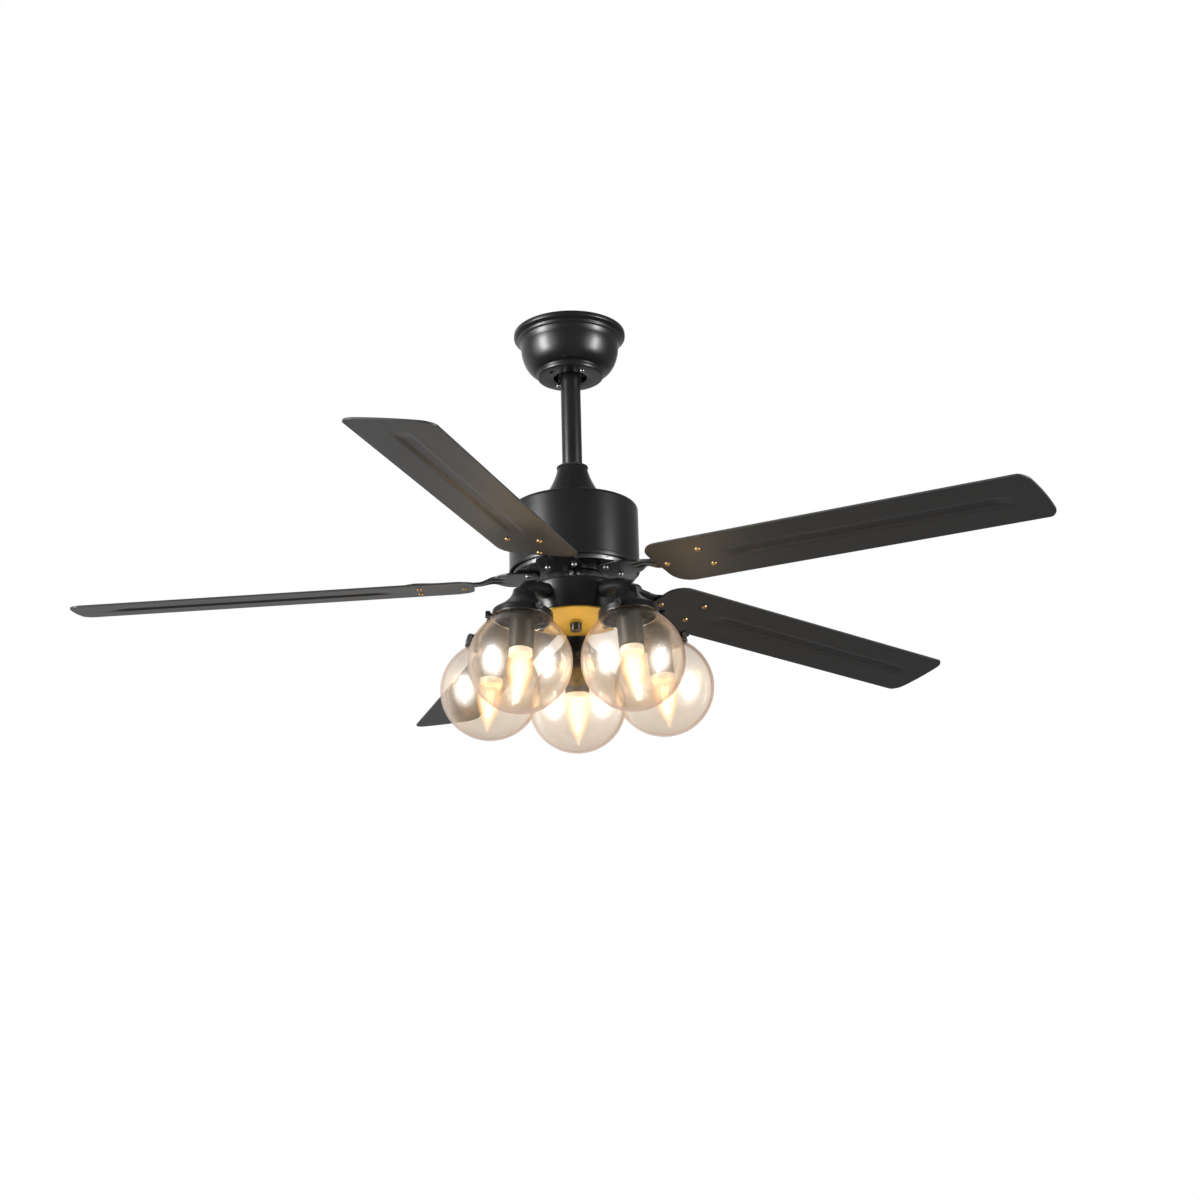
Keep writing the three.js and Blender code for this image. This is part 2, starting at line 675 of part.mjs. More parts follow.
// The collar on the shaft's end that the light kit hangs from.
function lightAdapter() {
  const bore = SHAFT_RADIUS + CLEARANCE;
  const top = ROTOR_BASE_Z - BRACKET_PLATE - 2;
  return turned(
    [
      [bore, DRUM_TOP_Z + CLEARANCE],
      [ADAPTER_RADIUS + 10, DRUM_TOP_Z + CLEARANCE],
      [ADAPTER_RADIUS + 10, DRUM_TOP_Z + 4],
      [ADAPTER_RADIUS, DRUM_TOP_Z + 6],
      [ADAPTER_RADIUS, top],
      [bore, top],
    ],
    BIG_ROUND,
  );
}

// The drum that the lamp arms leave from, open below until its cap is on.
function lampDrum() {
  const corner = 3;
  let made = turned(
    [
      [DRUM_RADIUS - SHEET, DRUM_BASE_Z],
      [DRUM_RADIUS, DRUM_BASE_Z],
      ...arc(DRUM_RADIUS - corner, DRUM_TOP_Z - corner, corner, 0, 90, 3),
      [SHAFT_RADIUS, DRUM_TOP_Z],
      [SHAFT_RADIUS, DRUM_TOP_Z - SHEET],
      [DRUM_RADIUS - SHEET, DRUM_TOP_Z - SHEET],
    ],
    BIG_ROUND,
  );
  for (let k = 0; k < LAMPS; k++) {
    const angle = turn(LAMP_START + (360 / LAMPS) * k);
    const out = new THREE.Vector3(Math.cos(angle), Math.sin(angle), 0);
    const start = out.clone().multiplyScalar(DRUM_RADIUS - 12).setZ(ARM_Z);
    const end = out.clone().multiplyScalar(DRUM_RADIUS + 12).setZ(ARM_Z);
    made = made.subtract(bar(ARM_RADIUS + ARM_HOLE_GAP, start, end));
  }
  return made;
}

// The shallow domed cover that closes the drum from below.
function drumCap() {
  const hole = 3 + CLEARANCE;
  const edge = DRUM_RADIUS;
  const top = DRUM_BASE_Z - CLEARANCE;
  return turned(
    [
      [hole, CAP_BASE_Z],
      [edge * 0.45, CAP_BASE_Z + 0.6],
      [edge * 0.8, CAP_BASE_Z + 2.1],
      [edge - 1, top - SHEET],
      [edge, top],
      [edge * 0.8, CAP_BASE_Z + 2.1 + SHEET],
      [edge * 0.45, CAP_BASE_Z + 0.6 + SHEET],
      [hole, CAP_BASE_Z + SHEET],
    ],
    BIG_ROUND,
  );
}

function finialNut() {
  const top = CAP_BASE_Z - CLEARANCE;
  return turned(
    [
      [0, top - KNOB_HEIGHT],
      [KNOB_RADIUS - 1.5, top - KNOB_HEIGHT],
      [KNOB_RADIUS, top - KNOB_HEIGHT + 1.5],
      [KNOB_RADIUS, top],
      [3, top],
      [3, top + 8],
      [0, top + 8],
    ],
    24,
  );
}

// From here a lamp is made about its own axis, with the globe's centre at the origin.

// The lamp's own frame in the fan: leant out at the bottom, on the circle of lamps.
function lampPlace(k) {
  const place = new THREE.Group();
  place.rotation.z = turn(LAMP_START + (360 / LAMPS) * k);
  const lean = new THREE.Group();
  lean.position.set(LAMP_CIRCLE, 0, LAMP_Z);
  lean.rotation.y = -turn(LAMP_TILT);
  place.add(lean);
  fan.add(place);
  return lean;
}

// The thumbscrew's direction out of the lamp's axis, and its height.
const THUMB_OUT = new THREE.Vector3(Math.cos(turn(THUMB_ANGLE)), Math.sin(turn(THUMB_ANGLE)), 0);
const THUMB_Z = CUP_BASE + THUMB_LIFT;

const alongThumb = (distance) => THUMB_OUT.clone().multiplyScalar(distance).setZ(THUMB_Z);

// A trumpet-shaped cup that holds the globe's neck, with the arm that carries it from the drum.
function lampArm() {
  const steps = 3;
  const flare = CUP_RIM_RADIUS - CUP_TOP_RADIUS;
  const outside = Array.from({ length: steps + 1 }, (_, i) => {
    const share = i / steps;
    const height = CUP_BASE + CUP_BAND + (CUP_HEIGHT - CUP_BAND) * share;
    return [CUP_TOP_RADIUS + flare * (1 - share) ** 2, height];
  });
  const inside = outside
    .slice(0, -1)
    .map(([radius, height]) => [radius - SHEET, height - SHEET])
    .reverse();
  const cup = turned(
    [
      [CUP_RIM_RADIUS - SHEET, CUP_BASE],
      [CUP_RIM_RADIUS, CUP_BASE],
      ...outside,
      [0, CUP_CROWN],
      [0, CUP_ROOF],
      [CUP_TOP_RADIUS - SHEET, CUP_ROOF],
      ...inside,
    ],
    GLOBE_ROUND,
  );
  // The arm leaves the drum level, and turns down into the cup's crown.
  const lean = turn(LAMP_TILT);
  const toLamp = (radius, z) => new THREE.Vector3(radius - LAMP_CIRCLE, 0, z - LAMP_Z)
    .applyAxisAngle(new THREE.Vector3(0, 1, 0), lean);
  const crown = new THREE.Vector3(0, 0, CUP_CROWN - SHEET);
  const route = new THREE.QuadraticBezierCurve3(
    toLamp(DRUM_RADIUS - SHEET - 4, ARM_Z),
    toLamp(LAMP_CIRCLE - 16, ARM_Z),
    crown,
  );
  const section = new THREE.Shape().absarc(0, 0, ARM_RADIUS, 0, 2 * Math.PI);
  const arm = new THREE.ExtrudeGeometry(section, {
    steps: 5,
    extrudePath: route,
    curveSegments: SMALL_ROUND / 2,
    bevelEnabled: false,
  });
  const hole = bar(
    THUMB_RADIUS + CLEARANCE,
    alongThumb(CUP_RIM_RADIUS - 6),
    alongThumb(CUP_RIM_RADIUS + 6),
  );
  return cup.add(solid(arm)).subtract(hole);
}

// A blown globe with a short neck, open at the top.
function globe() {
  const meets = degrees(Math.acos(NECK_RADIUS / GLOBE_RADIUS));
  const inner = GLOBE_RADIUS - GLASS;
  const neckHole = NECK_RADIUS - GLASS;
  const innerMeets = degrees(Math.acos(neckHole / inner));
  const top = SHOULDER + NECK_RISE;
  const outside = arc(0, 0, GLOBE_RADIUS, -90, meets, 6);
  const inside = arc(0, 0, inner, innerMeets, -90, 6);
  outside[0][0] = 0;
  inside[inside.length - 1][0] = 0;
  return turned([...outside, [NECK_RADIUS, top], [neckHole, top], ...inside], GLOBE_ROUND);
}

function lampSocket() {
  return turned(
    [
      [SOCKET_BORE, SOCKET_BASE],
      [SOCKET_RADIUS - 1, SOCKET_BASE],
      [SOCKET_RADIUS, SOCKET_BASE + 1],
      [SOCKET_RADIUS, SOCKET_TOP - SOCKET_TAPER],
      [SOCKET_RADIUS * 0.5, SOCKET_TOP],
      [0, SOCKET_TOP],
      [0, SOCKET_BASE + BULB_CAP_LENGTH + 2],
      [SOCKET_BORE, SOCKET_BASE + BULB_CAP_LENGTH + 2],
    ],
    SMALL_ROUND,
  );
}

// A candle bulb, cap up: a screw cap, a collar and a flame-shaped envelope.
function bulb() {
  const top = SOCKET_BASE - CLEARANCE;
  const cap = SOCKET_BORE - CLEARANCE;
  const flame = [
    [0.2, 0.05],
    [0.5, 0.18],
    [0.86, 0.45],
    [1, 0.7],
    [0.94, 0.88],
  ].map(([width, share]) => [BULB_RADIUS * width, FLAME_TOP - BULB_FLAME_LENGTH * (1 - share)]);
  return turned(
    [
      [0, FLAME_TOP - BULB_FLAME_LENGTH],
      ...flame,
      [BULB_COLLAR_RADIUS - 1, FLAME_TOP],
      [BULB_COLLAR_RADIUS, FLAME_TOP + 2],
      [BULB_COLLAR_RADIUS, top],
      [cap, top],
      [cap, SOCKET_BASE + BULB_CAP_LENGTH],
      [0, SOCKET_BASE + BULB_CAP_LENGTH],
    ],
    SMALL_ROUND,
  );
}

function thumbscrew() {
  const tip = alongThumb(NECK_RADIUS + CLEARANCE);
  const shoulder = alongThumb(CUP_RIM_RADIUS + 2);
  const end = alongThumb(CUP_RIM_RADIUS + 2 + THUMB_HEAD);
  const shank = bar(THUMB_RADIUS, tip, shoulder.clone().lerp(end, 0.2), 12);
  return shank.add(bar(THUMB_HEAD_RADIUS, shoulder, end, 12));
}

// ---- Assembly -----------------------------------------------------------------------------------

add("hanger_bracket", hangerBracket(), "zinc_steel");
add("canopy", canopy(), "black_paint");
canopyScrewPlaces().forEach(([x, y], i) => add(`canopy_screw_${i + 1}`, canopyScrew(x, y), "zinc_steel"));
add("receiver", receiver(), "black_plastic");

add("hanger_ball", hangerBall(), "black_plastic");
add("ball_pin", pinAt(BALL_Z, 20), "zinc_steel");
add("downrod", downrod(), "black_paint");
add("yoke", yoke(), "zinc_steel");
add("yoke_pin", pinAt(YOKE_PIN_Z, YOKE_RADIUS + 1), "zinc_steel");
add("coupling_cover", couplingCover(), "black_paint");
add("cover_grommet", coverGrommet(), "rubber");

add("motor_housing", motorHousing(), "black_paint");
add("motor_shaft", motorShaft(), "zinc_steel");
add("stator", stator(), "windings");
add("upper_bearing", bearing(ROTOR_TOP_Z - 2 - CLEARANCE - BEARING_HEIGHT), "zinc_steel");
add("lower_bearing", bearing(ROTOR_BASE_Z + 2 + CLEARANCE), "zinc_steel");
add("rotor_pan", rotorPan(), "black_paint");
add("rotor_lid", rotorLid(), "zinc_steel");

for (let k = 0; k < BLADES; k++) {
  const radius = new THREE.Group();
  radius.rotation.z = turn(BLADE_START + (360 / BLADES) * k);
  fan.add(radius);
  add(`blade_bracket_${k + 1}`, bladeBracket(), "black_paint", radius);
  const plane = new THREE.Group();
  plane.applyMatrix4(bladePlane());
  radius.add(plane);
  add(`blade_${k + 1}`, blade(), "black_blade", plane);
}

add("light_adapter", lightAdapter(), "black_paint");
add("lamp_drum", lampDrum(), "black_paint");
add("drum_cap", drumCap(), "black_paint");
add("finial_nut", finialNut(), "black_paint");

for (let k = 0; k < LAMPS; k++) {
  const lamp = lampPlace(k);
  add(`lamp_arm_${k + 1}`, lampArm(), "black_paint", lamp);
  add(`lamp_socket_${k + 1}`, lampSocket(), "black_plastic", lamp);
  add(`bulb_${k + 1}`, bulb(), "warm_bulb", lamp);
  add(`globe_${k + 1}`, globe(), "amber_glass", lamp);
  add(`thumbscrew_${k + 1}`, thumbscrew(), "black_paint", lamp);
}

export default fan;
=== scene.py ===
# %% [markdown]
# # A five-blade ceiling fan with five glass globes
# The fan's frame is already there: every sub-part as a plain faceted solid, at its real place and
# size, on the body that it moves with. This lesson dresses that frame. Each cell makes one piece or
# one finish, and says how the real thing is made and why it is modelled this way.

import math

import bmesh
import bpy
from mathutils import Matrix, Vector


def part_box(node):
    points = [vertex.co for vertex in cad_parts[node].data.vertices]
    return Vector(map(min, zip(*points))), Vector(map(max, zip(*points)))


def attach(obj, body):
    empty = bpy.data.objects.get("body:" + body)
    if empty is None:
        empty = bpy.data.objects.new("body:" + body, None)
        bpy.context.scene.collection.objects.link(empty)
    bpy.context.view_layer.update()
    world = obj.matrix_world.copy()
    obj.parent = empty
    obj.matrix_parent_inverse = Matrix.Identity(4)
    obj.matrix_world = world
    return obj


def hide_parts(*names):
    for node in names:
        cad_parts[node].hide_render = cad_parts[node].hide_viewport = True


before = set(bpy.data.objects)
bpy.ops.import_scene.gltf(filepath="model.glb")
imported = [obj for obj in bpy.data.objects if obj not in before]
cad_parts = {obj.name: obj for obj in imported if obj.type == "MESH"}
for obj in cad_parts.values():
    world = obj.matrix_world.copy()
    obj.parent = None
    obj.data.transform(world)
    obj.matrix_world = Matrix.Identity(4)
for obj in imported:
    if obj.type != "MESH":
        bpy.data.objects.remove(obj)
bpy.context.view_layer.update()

# %% [markdown]
# ## Sizes
# The places come from the frame's boxes: the fan's axis is the Z axis and the ceiling is z = 0. What
# a box can't tell, such as the angle of a blade, is a named value here, in metres and degrees.

# %% Sizes that the frame gives
MM = 0.001


def base_of(node):
    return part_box(node)[0].z


def top_of(node):
    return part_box(node)[1].z


def radius_of(node):
    low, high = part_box(node)
    return (high.x - low.x) / 2


HOUSING_RADIUS = radius_of("motor_housing")
HOUSING_TOP = top_of("motor_housing")
HOUSING_BASE = base_of("motor_housing")
ROTOR_RADIUS = radius_of("rotor_pan")
ROTOR_BASE = base_of("rotor_pan")
DRUM_RADIUS = radius_of("lamp_drum")
DRUM_TOP = top_of("lamp_drum")
DRUM_BASE = base_of("lamp_drum")
ROD_RADIUS = radius_of("downrod")
print("housing radius", round(HOUSING_RADIUS, 4), "from", round(HOUSING_BASE, 4), "to", round(HOUSING_TOP, 4))

# %% [markdown]
# The other sizes could each be written where they are used. They stand together here, because a cup, a
# globe and a thumbscrew have to agree on them, and a change is then made in one place.

# %% Sizes that are named here
CLEARANCE = 0.3 * MM
SHEET = 1.5 * MM  # wall of the spun steel covers

BLADES = 5
BLADE_START = -34.6  # degrees from +X to the first blade
BLADE_PITCH = 10.5
BLADE_DROOP = 2.9
BLADE_AXIS_Z = HOUSING_BASE - 10 * MM  # where the blade planes meet on the axis
BLADE_ROOT = 134 * MM
BLADE_TIP = 660 * MM
BLADE_WIDTH = 106 * MM
BLADE_OFFSET = -2 * MM
BLADE_SHEET = 2.4 * MM
BRACKET_PLATE = 3 * MM
FOOT_START = 46 * MM
PADDLE_END = 226 * MM

LAMPS = 5
LAMP_START = -126.0  # degrees from +X to the first lamp
LAMP_CIRCLE = 121.5 * MM
LAMP_TILT = 6.0
LAMP_Z = HOUSING_BASE - 149 * MM
GLOBE_RADIUS = 66.5 * MM
GLASS = 2 * MM
NECK_RADIUS = 35.5 * MM
CUP_RIM = 39.5 * MM
CUP_BASE = 57.5 * MM
CUP_HEIGHT = 40 * MM
CUP_TOP_RADIUS = 14 * MM
ARM_RADIUS = 10 * MM
ARM_Z = DRUM_TOP - 17 * MM
SOCKET_RADIUS = 16.5 * MM
SOCKET_MOUTH = 17 * MM
BULB_RADIUS = 17.5 * MM
BULB_TIP = -57 * MM
COLLAR_RADIUS = 15 * MM
THUMB_ANGLES = (-54, 66, 186)  # degrees from straight out, the first one can be unscrewed


def turned_about_axis(degrees):
    return Matrix.Rotation(math.radians(degrees), 4, "Z")


def blade_place(k):
    droop = Matrix.Rotation(math.radians(BLADE_DROOP), 4, "Y")
    pitch = Matrix.Rotation(math.radians(-BLADE_PITCH), 4, "X")
    spoke = turned_about_axis(BLADE_START + 360 / BLADES * k)
    return spoke @ Matrix.Translation((0, 0, BLADE_AXIS_Z)) @ droop @ pitch


def lamp_place(k):
    spoke = turned_about_axis(LAMP_START + 360 / LAMPS * k)
    lean = Matrix.Rotation(math.radians(-LAMP_TILT), 4, "Y")
    return spoke @ Matrix.Translation((LAMP_CIRCLE, 0, LAMP_Z)) @ lean


print("first lamp at", [round(v, 3) for v in lamp_place(0).translation])

# %% [markdown]
# ## Camera
# The lens looks up at the fan from below its globes, with the camera rolled a little. It is made
# first, because everything else is judged through it.

# %% Camera
LENS = 57.96  # millimetres
CAMERA_PLACE = (0, -2.443, -1.177)
CAMERA_YAW = -0.768
CAMERA_PITCH = 17.89
CAMERA_ROLL = -1.53
camera_data = bpy.data.cameras.new("room_camera")
camera_data.lens = LENS
camera_data.clip_end = 200
camera = bpy.data.objects.new("room_camera", camera_data)
bpy.context.collection.objects.link(camera)
camera.matrix_world = (
    Matrix.Translation(CAMERA_PLACE)
    @ turned_about_axis(CAMERA_YAW)
    @ Matrix.Rotation(math.radians(90 + CAMERA_PITCH), 4, "X")
    @ turned_about_axis(CAMERA_ROLL)
)
bpy.context.scene.camera = camera
print("camera looks along", [round(v, 3) for v in -camera.matrix_world.col[2].xyz])

# %% [markdown]
# ## Shader sums
# A finish is easier to read as a formula than as a web of links. This small class wraps one socket
# and gives it the operators of ordinary sums, so that `1 - mask` adds its Math node by itself. Every
# other kind of node comes from its one method, `node`.

# %% A socket that can be used in a sum
class Wire:
    def __init__(self, tree, socket=None):
        self.tree = tree
        self.socket = socket

    def node(self, kind, sockets=None, output=0, stops=None, **settings):
        made = self.tree.nodes.new(kind)
        for setting, value in settings.items():
            setattr(made, setting, value)
        if stops:
            ramp = made.color_ramp
            while len(ramp.elements) < len(stops):
                ramp.elements.new(1.0)
            for element, (position, colour) in zip(ramp.elements, stops):
                element.position = position
                element.color = (*colour, 1.0)
        for place, value in (sockets or {}).items():
            target = made.inputs[place]
            if isinstance(value, Wire):
                self.tree.links.new(value.socket, target)
            else:
                target.default_value = value
        return Wire(self.tree, made.outputs[output])

    def math(self, operation, first, second=0.0):
        return self.node("ShaderNodeMath", {0: first, 1: second}, operation=operation)

    def __add__(self, other):
        return self.math("ADD", self, other)

    def __sub__(self, other):
        return self.math("SUBTRACT", self, other)

    def __mul__(self, other):
        return self.math("MULTIPLY", self, other)

    def __pow__(self, other):
        return self.math("POWER", self, other)

    def __rsub__(self, other):
        return self.math("SUBTRACT", other, self)

    __radd__ = __add__
    __rmul__ = __mul__

    def between(self, low, high):
        """0 below low, 1 above high, and a smooth step from one to the other."""
        sockets = {"Value": self, "From Min": low, "From Max": high}
        return self.node("ShaderNodeMapRange", sockets, interpolation_type="SMOOTHSTEP")

    def blend(self, colour, other):
        """The first colour where this value is 0, and the other where it is 1."""
        sockets = {"Factor": self, 6: colour, 7: other}
        return self.node("ShaderNodeMix", sockets, output=2, data_type="RGBA")

    def place(self):
        return self.node("ShaderNodeTexCoord", output="Object")

    def along(self, axis):
        return self.node("ShaderNodeSeparateXYZ", {0: self.place()}, output=axis)

    def noise(self, scale, detail=3.0, stretch=(1, 1, 1)):
        """Cloudy values from 0 to 1, with scale in features per metre."""
        moved = self.node("ShaderNodeMapping", {"Vector": self.place(), "Scale": stretch})
        return self.node("ShaderNodeTexNoise", {"Vector": moved, "Scale": scale, "Detail": detail})

    def bump(self, height, distance, strength=1.0):
        sockets = {"Height": height, "Distance": distance, "Strength": strength}
        return self.node("ShaderNodeBump", sockets)

    def principled(self, sockets):
        return self.node("ShaderNodeBsdfPrincipled", sockets)


def finish(name, surface):
    """A material whose surface comes from a function of a fresh wire."""
    made = bpy.data.materials.new(name)
    made.use_nodes = True
    made.node_tree.nodes.clear()
    wire = Wire(made.node_tree)
    output = made.node_tree.nodes.new("ShaderNodeOutputMaterial")
    made.node_tree.links.new(surface(wire).socket, output.inputs["Surface"])
    print("finish:", name, len(made.node_tree.nodes), "nodes")
    return made


def rgb(red, green, blue):
    return (red, green, blue, 1.0)


# %% [markdown]
# ## Finishes
# The steel covers are powder coated: a satin black skin with a very fine orange peel, a roughness that
# wanders a little, and dust that lies on what faces up. The bump is real relief a few hundredths of
# a millimetre deep, so it shows only where light grazes the surface.

# %% Satin black powder coat
def dust_on_top(wire):
    """1 on the patches of dust, which lie only where the surface faces up."""
    normal = wire.node("ShaderNodeNewGeometry", output=1)
    up = wire.node("ShaderNodeSeparateXYZ", {0: normal}, output=2)
    return up.between(0.55, 1.0) * wire.noise(38.0, 5.0).between(0.35, 0.75)


def powder_coat(wire):
    grain = wire.noise(900.0, 2.0)
    cloud = wire.noise(14.0, 4.0)
    wear = wire.noise(150.0, 6.0).between(0.66, 0.74)
    dust = dust_on_top(wire)
    tone = cloud.blend(rgb(0.009, 0.009, 0.0094), rgb(0.0145, 0.0143, 0.0145))
    worn = (wear * 0.35).blend(tone, rgb(0.05, 0.049, 0.048))
    return wire.principled({
        "Base Color": (dust * 0.22).blend(worn, rgb(0.17, 0.16, 0.15)),
        "Roughness": 0.27 + cloud * 0.07 + wear * 0.06 + dust * 0.2,
        "Normal": wire.bump(grain + cloud * 0.6, 0.06 * MM, 0.35),
        "Specular IOR Level": 0.5,
        "Coat Weight": 0.12,
        "Coat Roughness": 0.25,
    })


SATIN_BLACK = finish("satin_black_powder_coat", powder_coat)

# %% [markdown]
# The blades are pressed sheet with a flatter, slightly warm black paint. A roller leaves faint streaks
# along the blade, so the noise is stretched along the blade's own length.


# %% Blade paint
def blade_paint(wire):
    streak = wire.noise(60.0, 4.0, stretch=(0.08, 1.0, 1.0))
    grain = wire.noise(1100.0, 2.0)
    cloud = wire.noise(9.0, 3.0)
    dust = dust_on_top(wire)
    tone = cloud.blend(rgb(0.031, 0.03, 0.029), rgb(0.043, 0.0412, 0.0393))
    streaked = (streak * 0.25).blend(tone, rgb(0.062, 0.058, 0.054))
    return wire.principled({
        "Base Color": (dust * 0.3).blend(streaked, rgb(0.18, 0.17, 0.16)),
        "Roughness": 0.42 + streak * 0.1 + dust * 0.2,
        "Normal": wire.bump(grain * 0.6 + streak, 0.05 * MM, 0.3),
        "Specular IOR Level": 0.5,
    })


BLADE_BLACK = finish("blade_black_paint", blade_paint)

# %% [markdown]
# Screws come in two metals: brass-plated ones hold the blades, and zinc-plated ones the rest. Plated
# steel is a mirror roughened by fine scratches, with darker spots where the plating has dulled.


# %% Plated screws and steel
def plated(light, dark, rough):
    def surface(wire):
        brushed = wire.noise(700.0, 4.0, stretch=(1.0, 1.0, 0.15))
        spots = wire.noise(260.0, 5.0).between(0.52, 0.72)
        return wire.principled({
            "Base Color": (spots * 0.7).blend(light, dark),
            "Metallic": 1.0,
            "Roughness": rough + brushed * 0.12 + spots * 0.15,
            "Normal": wire.bump(brushed, 0.03 * MM, 0.4),
        })

    return surface


BRASS = finish("brass_plating", plated(rgb(0.85, 0.56, 0.25), rgb(0.36, 0.2, 0.08), 0.2))
ZINC = finish("zinc_plating", plated(rgb(0.62, 0.63, 0.64), rgb(0.3, 0.3, 0.31), 0.22))
DARK_STEEL = finish("blued_steel", plated(rgb(0.16, 0.16, 0.165), rgb(0.06, 0.06, 0.06), 0.26))


# %% [markdown]
# The drum's cap gets a gold colour that is painted light, the bulbs' warm glow; the bulbs light it too.
# The sockets, the hanger ball and the receiver are moulded plastic, the bulbs' collars are ceramic, and
# the grommet is rubber.


# %% Painted bulb glow on the cap, plastic, rubber and windings
# Painted light: the cap's gold colour stands in for the warm glow of the bulbs on it.
def painted_bulb_glow_gold(wire):
    spun = wire.noise(120.0, 3.0)
    fine = wire.noise(800.0, 2.0)
    return wire.principled({
        "Base Color": spun.blend(rgb(0.68, 0.48, 0.075), rgb(0.78, 0.56, 0.095)),
        "Metallic": 0.55,
        "Roughness": 0.38 + spun * 0.08,
        "Normal": wire.bump(fine, 0.03 * MM, 0.3),
    })


def moulded(dark, light, rough, relief):
    def surface(wire):
        grain = wire.noise(1400.0, 2.0)
        flow = wire.noise(30.0, 3.0)
        return wire.principled({
            "Base Color": flow.blend(dark, light),
            "Roughness": rough + grain * 0.12,
            "Normal": wire.bump(grain, relief, 0.5),
        })

    return surface


def copper_windings(wire):
    strands = wire.noise(500.0, 2.0, stretch=(1.0, 1.0, 0.05))
    return wire.principled({
        "Base Color": strands.blend(rgb(0.30, 0.11, 0.05), rgb(0.62, 0.27, 0.12)),
        "Metallic": 0.7,
        "Roughness": 0.35 + strands * 0.2,
        "Normal": wire.bump(strands, 0.3 * MM, 0.6),
    })


# The cap's gold colour is painted light from the bulbs.
BULB_GLOW_GOLD = finish("painted_bulb_glow_gold", painted_bulb_glow_gold)
socket_skin = moulded(rgb(0.018, 0.017, 0.013), rgb(0.032, 0.03, 0.022), 0.4, 0.05 * MM)
SOCKET_BLACK = finish("socket_plastic", socket_skin)
rubber_skin = moulded(rgb(0.01, 0.01, 0.01), rgb(0.02, 0.02, 0.02), 0.7, 0.08 * MM)
RUBBER = finish("grommet_rubber", rubber_skin)
ceramic_skin = moulded(rgb(0.86, 0.8, 0.66), rgb(0.95, 0.9, 0.78), 0.2, 0.02 * MM)
COLLAR_CREAM = finish("collar_ceramic", ceramic_skin)
WINDINGS = finish("copper_windings", copper_windings)

# %% [markdown]
# Real blown glass this thin hardly bends what is behind it. It shows by its tint, by the reflections in
# its two walls, and by its edge, where the line of sight runs a long way through the glass and picks
# up a red-amber colour. So the glass lets light straight through, pale in the middle and amber at the
# edge, and is mixed with a mirror by an amount that rises towards the edge. A softer mirror blurs part
# of the reflection. That stays clean at few samples, and light gets through.


# %% Champagne glass
def champagne_glass(wire):
    edge = wire.node("ShaderNodeLayerWeight", {"Blend": 0.5}, output=1)
    gloss = 0.13 + edge**4.5 * 0.75
    low = 1 - wire.along(2).between(-1.0 * GLOBE_RADIUS, 0.7 * GLOBE_RADIUS)
    ripple = wire.noise(26.0, 2.0)
    pale = wire.node("ShaderNodeBsdfTransparent", {"Color": rgb(0.985, 0.945, 0.89)})
    amber = wire.node("ShaderNodeBsdfTransparent", {"Color": rgb(0.8, 0.46, 0.2)})
    clear = wire.node("ShaderNodeMixShader", {0: edge.between(0.66, 0.92), 1: pale, 2: amber})
    mirror = wire.principled({
        "Base Color": edge.between(0.7, 0.86).blend(rgb(1.0, 0.99, 0.98), rgb(0.62, 0.3, 0.13)),
        "Metallic": 1.0,
        "Roughness": 0.03 + ripple * 0.03,
        "Normal": wire.bump(ripple, 0.5 * MM, 0.12),
    })
    sheen = wire.principled({
        "Base Color": rgb(0.98, 0.98, 0.98),
        "Metallic": 1.0,
        "Roughness": 0.36 + ripple * 0.05,
    })
    film = wire.principled({
        "Base Color": rgb(1.0, 0.74, 0.45),
        "Roughness": 0.25,
        "Alpha": low * 0.07,
    })
    tinted = wire.node("ShaderNodeMixShader", {0: 0.5, 1: clear, 2: film})
    soft = wire.node("ShaderNodeMixShader", {0: 0.45, 1: mirror, 2: sheen})
    return wire.node("ShaderNodeMixShader", {0: gloss, 1: tinted, 2: soft})


GLOBE_GLASS = finish("champagne_glass", champagne_glass)

# %% [markdown]
# A lit candle bulb is too bright to show its shape: its middle is nearly white, and only the outline
# keeps the yellow of the glass. The envelope glows by itself, more where it faces the eye.


# %% Lit bulb glass and filament
def lit_envelope(wire):
    facing = 1 - wire.node("ShaderNodeLayerWeight", {"Blend": 0.35}, output=1)
    height = wire.along(2).between(0.9 * BULB_TIP, 0.2 * BULB_TIP)
    core = facing.between(0.45, 1.0)
    glow = core.blend(rgb(1.0, 0.5, 0.12), rgb(1.0, 0.93, 0.72))
    return wire.principled({
        "Base Color": rgb(0.2, 0.1, 0.035),
        "Roughness": 0.08,
        "Alpha": 0.12 + core * 0.5 * (0.25 + height * 0.75),
        "Emission Color": glow,
        "Emission Strength": 1.65,
    })


def hot_filament(wire):
    bright = wire.noise(300.0, 1.0)
    return wire.principled({
        "Base Color": rgb(1.0, 0.85, 0.6),
        "Emission Color": bright.blend(rgb(1.0, 0.62, 0.22), rgb(1.0, 0.78, 0.42)),
        "Emission Strength": 8.0,
    })


BULB_GLASS = finish("lit_bulb_glass", lit_envelope)
FILAMENT = finish("hot_filament", hot_filament)

# %% [markdown]
# ## Ways to make a mesh
# Most of a fan is spun or turned, so most pieces are an outline carried round an axis. The outline
# is given by its corners, each with the radius of its fillet, because no real sheet has a sharp edge.


# %% Turning an outline
def rounded(corners, steps=4):
    """A closed outline from (radius, height, fillet) corners."""
    outline = []
    for i, (radius, height, fillet) in enumerate(corners):
        here = Vector((radius, height))
        before = Vector(corners[i - 1][:2]) - here
        after = Vector(corners[(i + 1) % len(corners)][:2]) - here
        if fillet == 0:
            outline.append(here)
            continue
        reach = min(fillet / math.tan(before.angle(after) / 2), 0.48 * before.length, 0.48 * after.length)
        start = here + before.normalized() * reach
        end = here + after.normalized() * reach
        for step in range(steps + 1):
            t = step / steps
            outline.append(start * (1 - t) ** 2 + here * 2 * t * (1 - t) + end * t**2)
    return outline


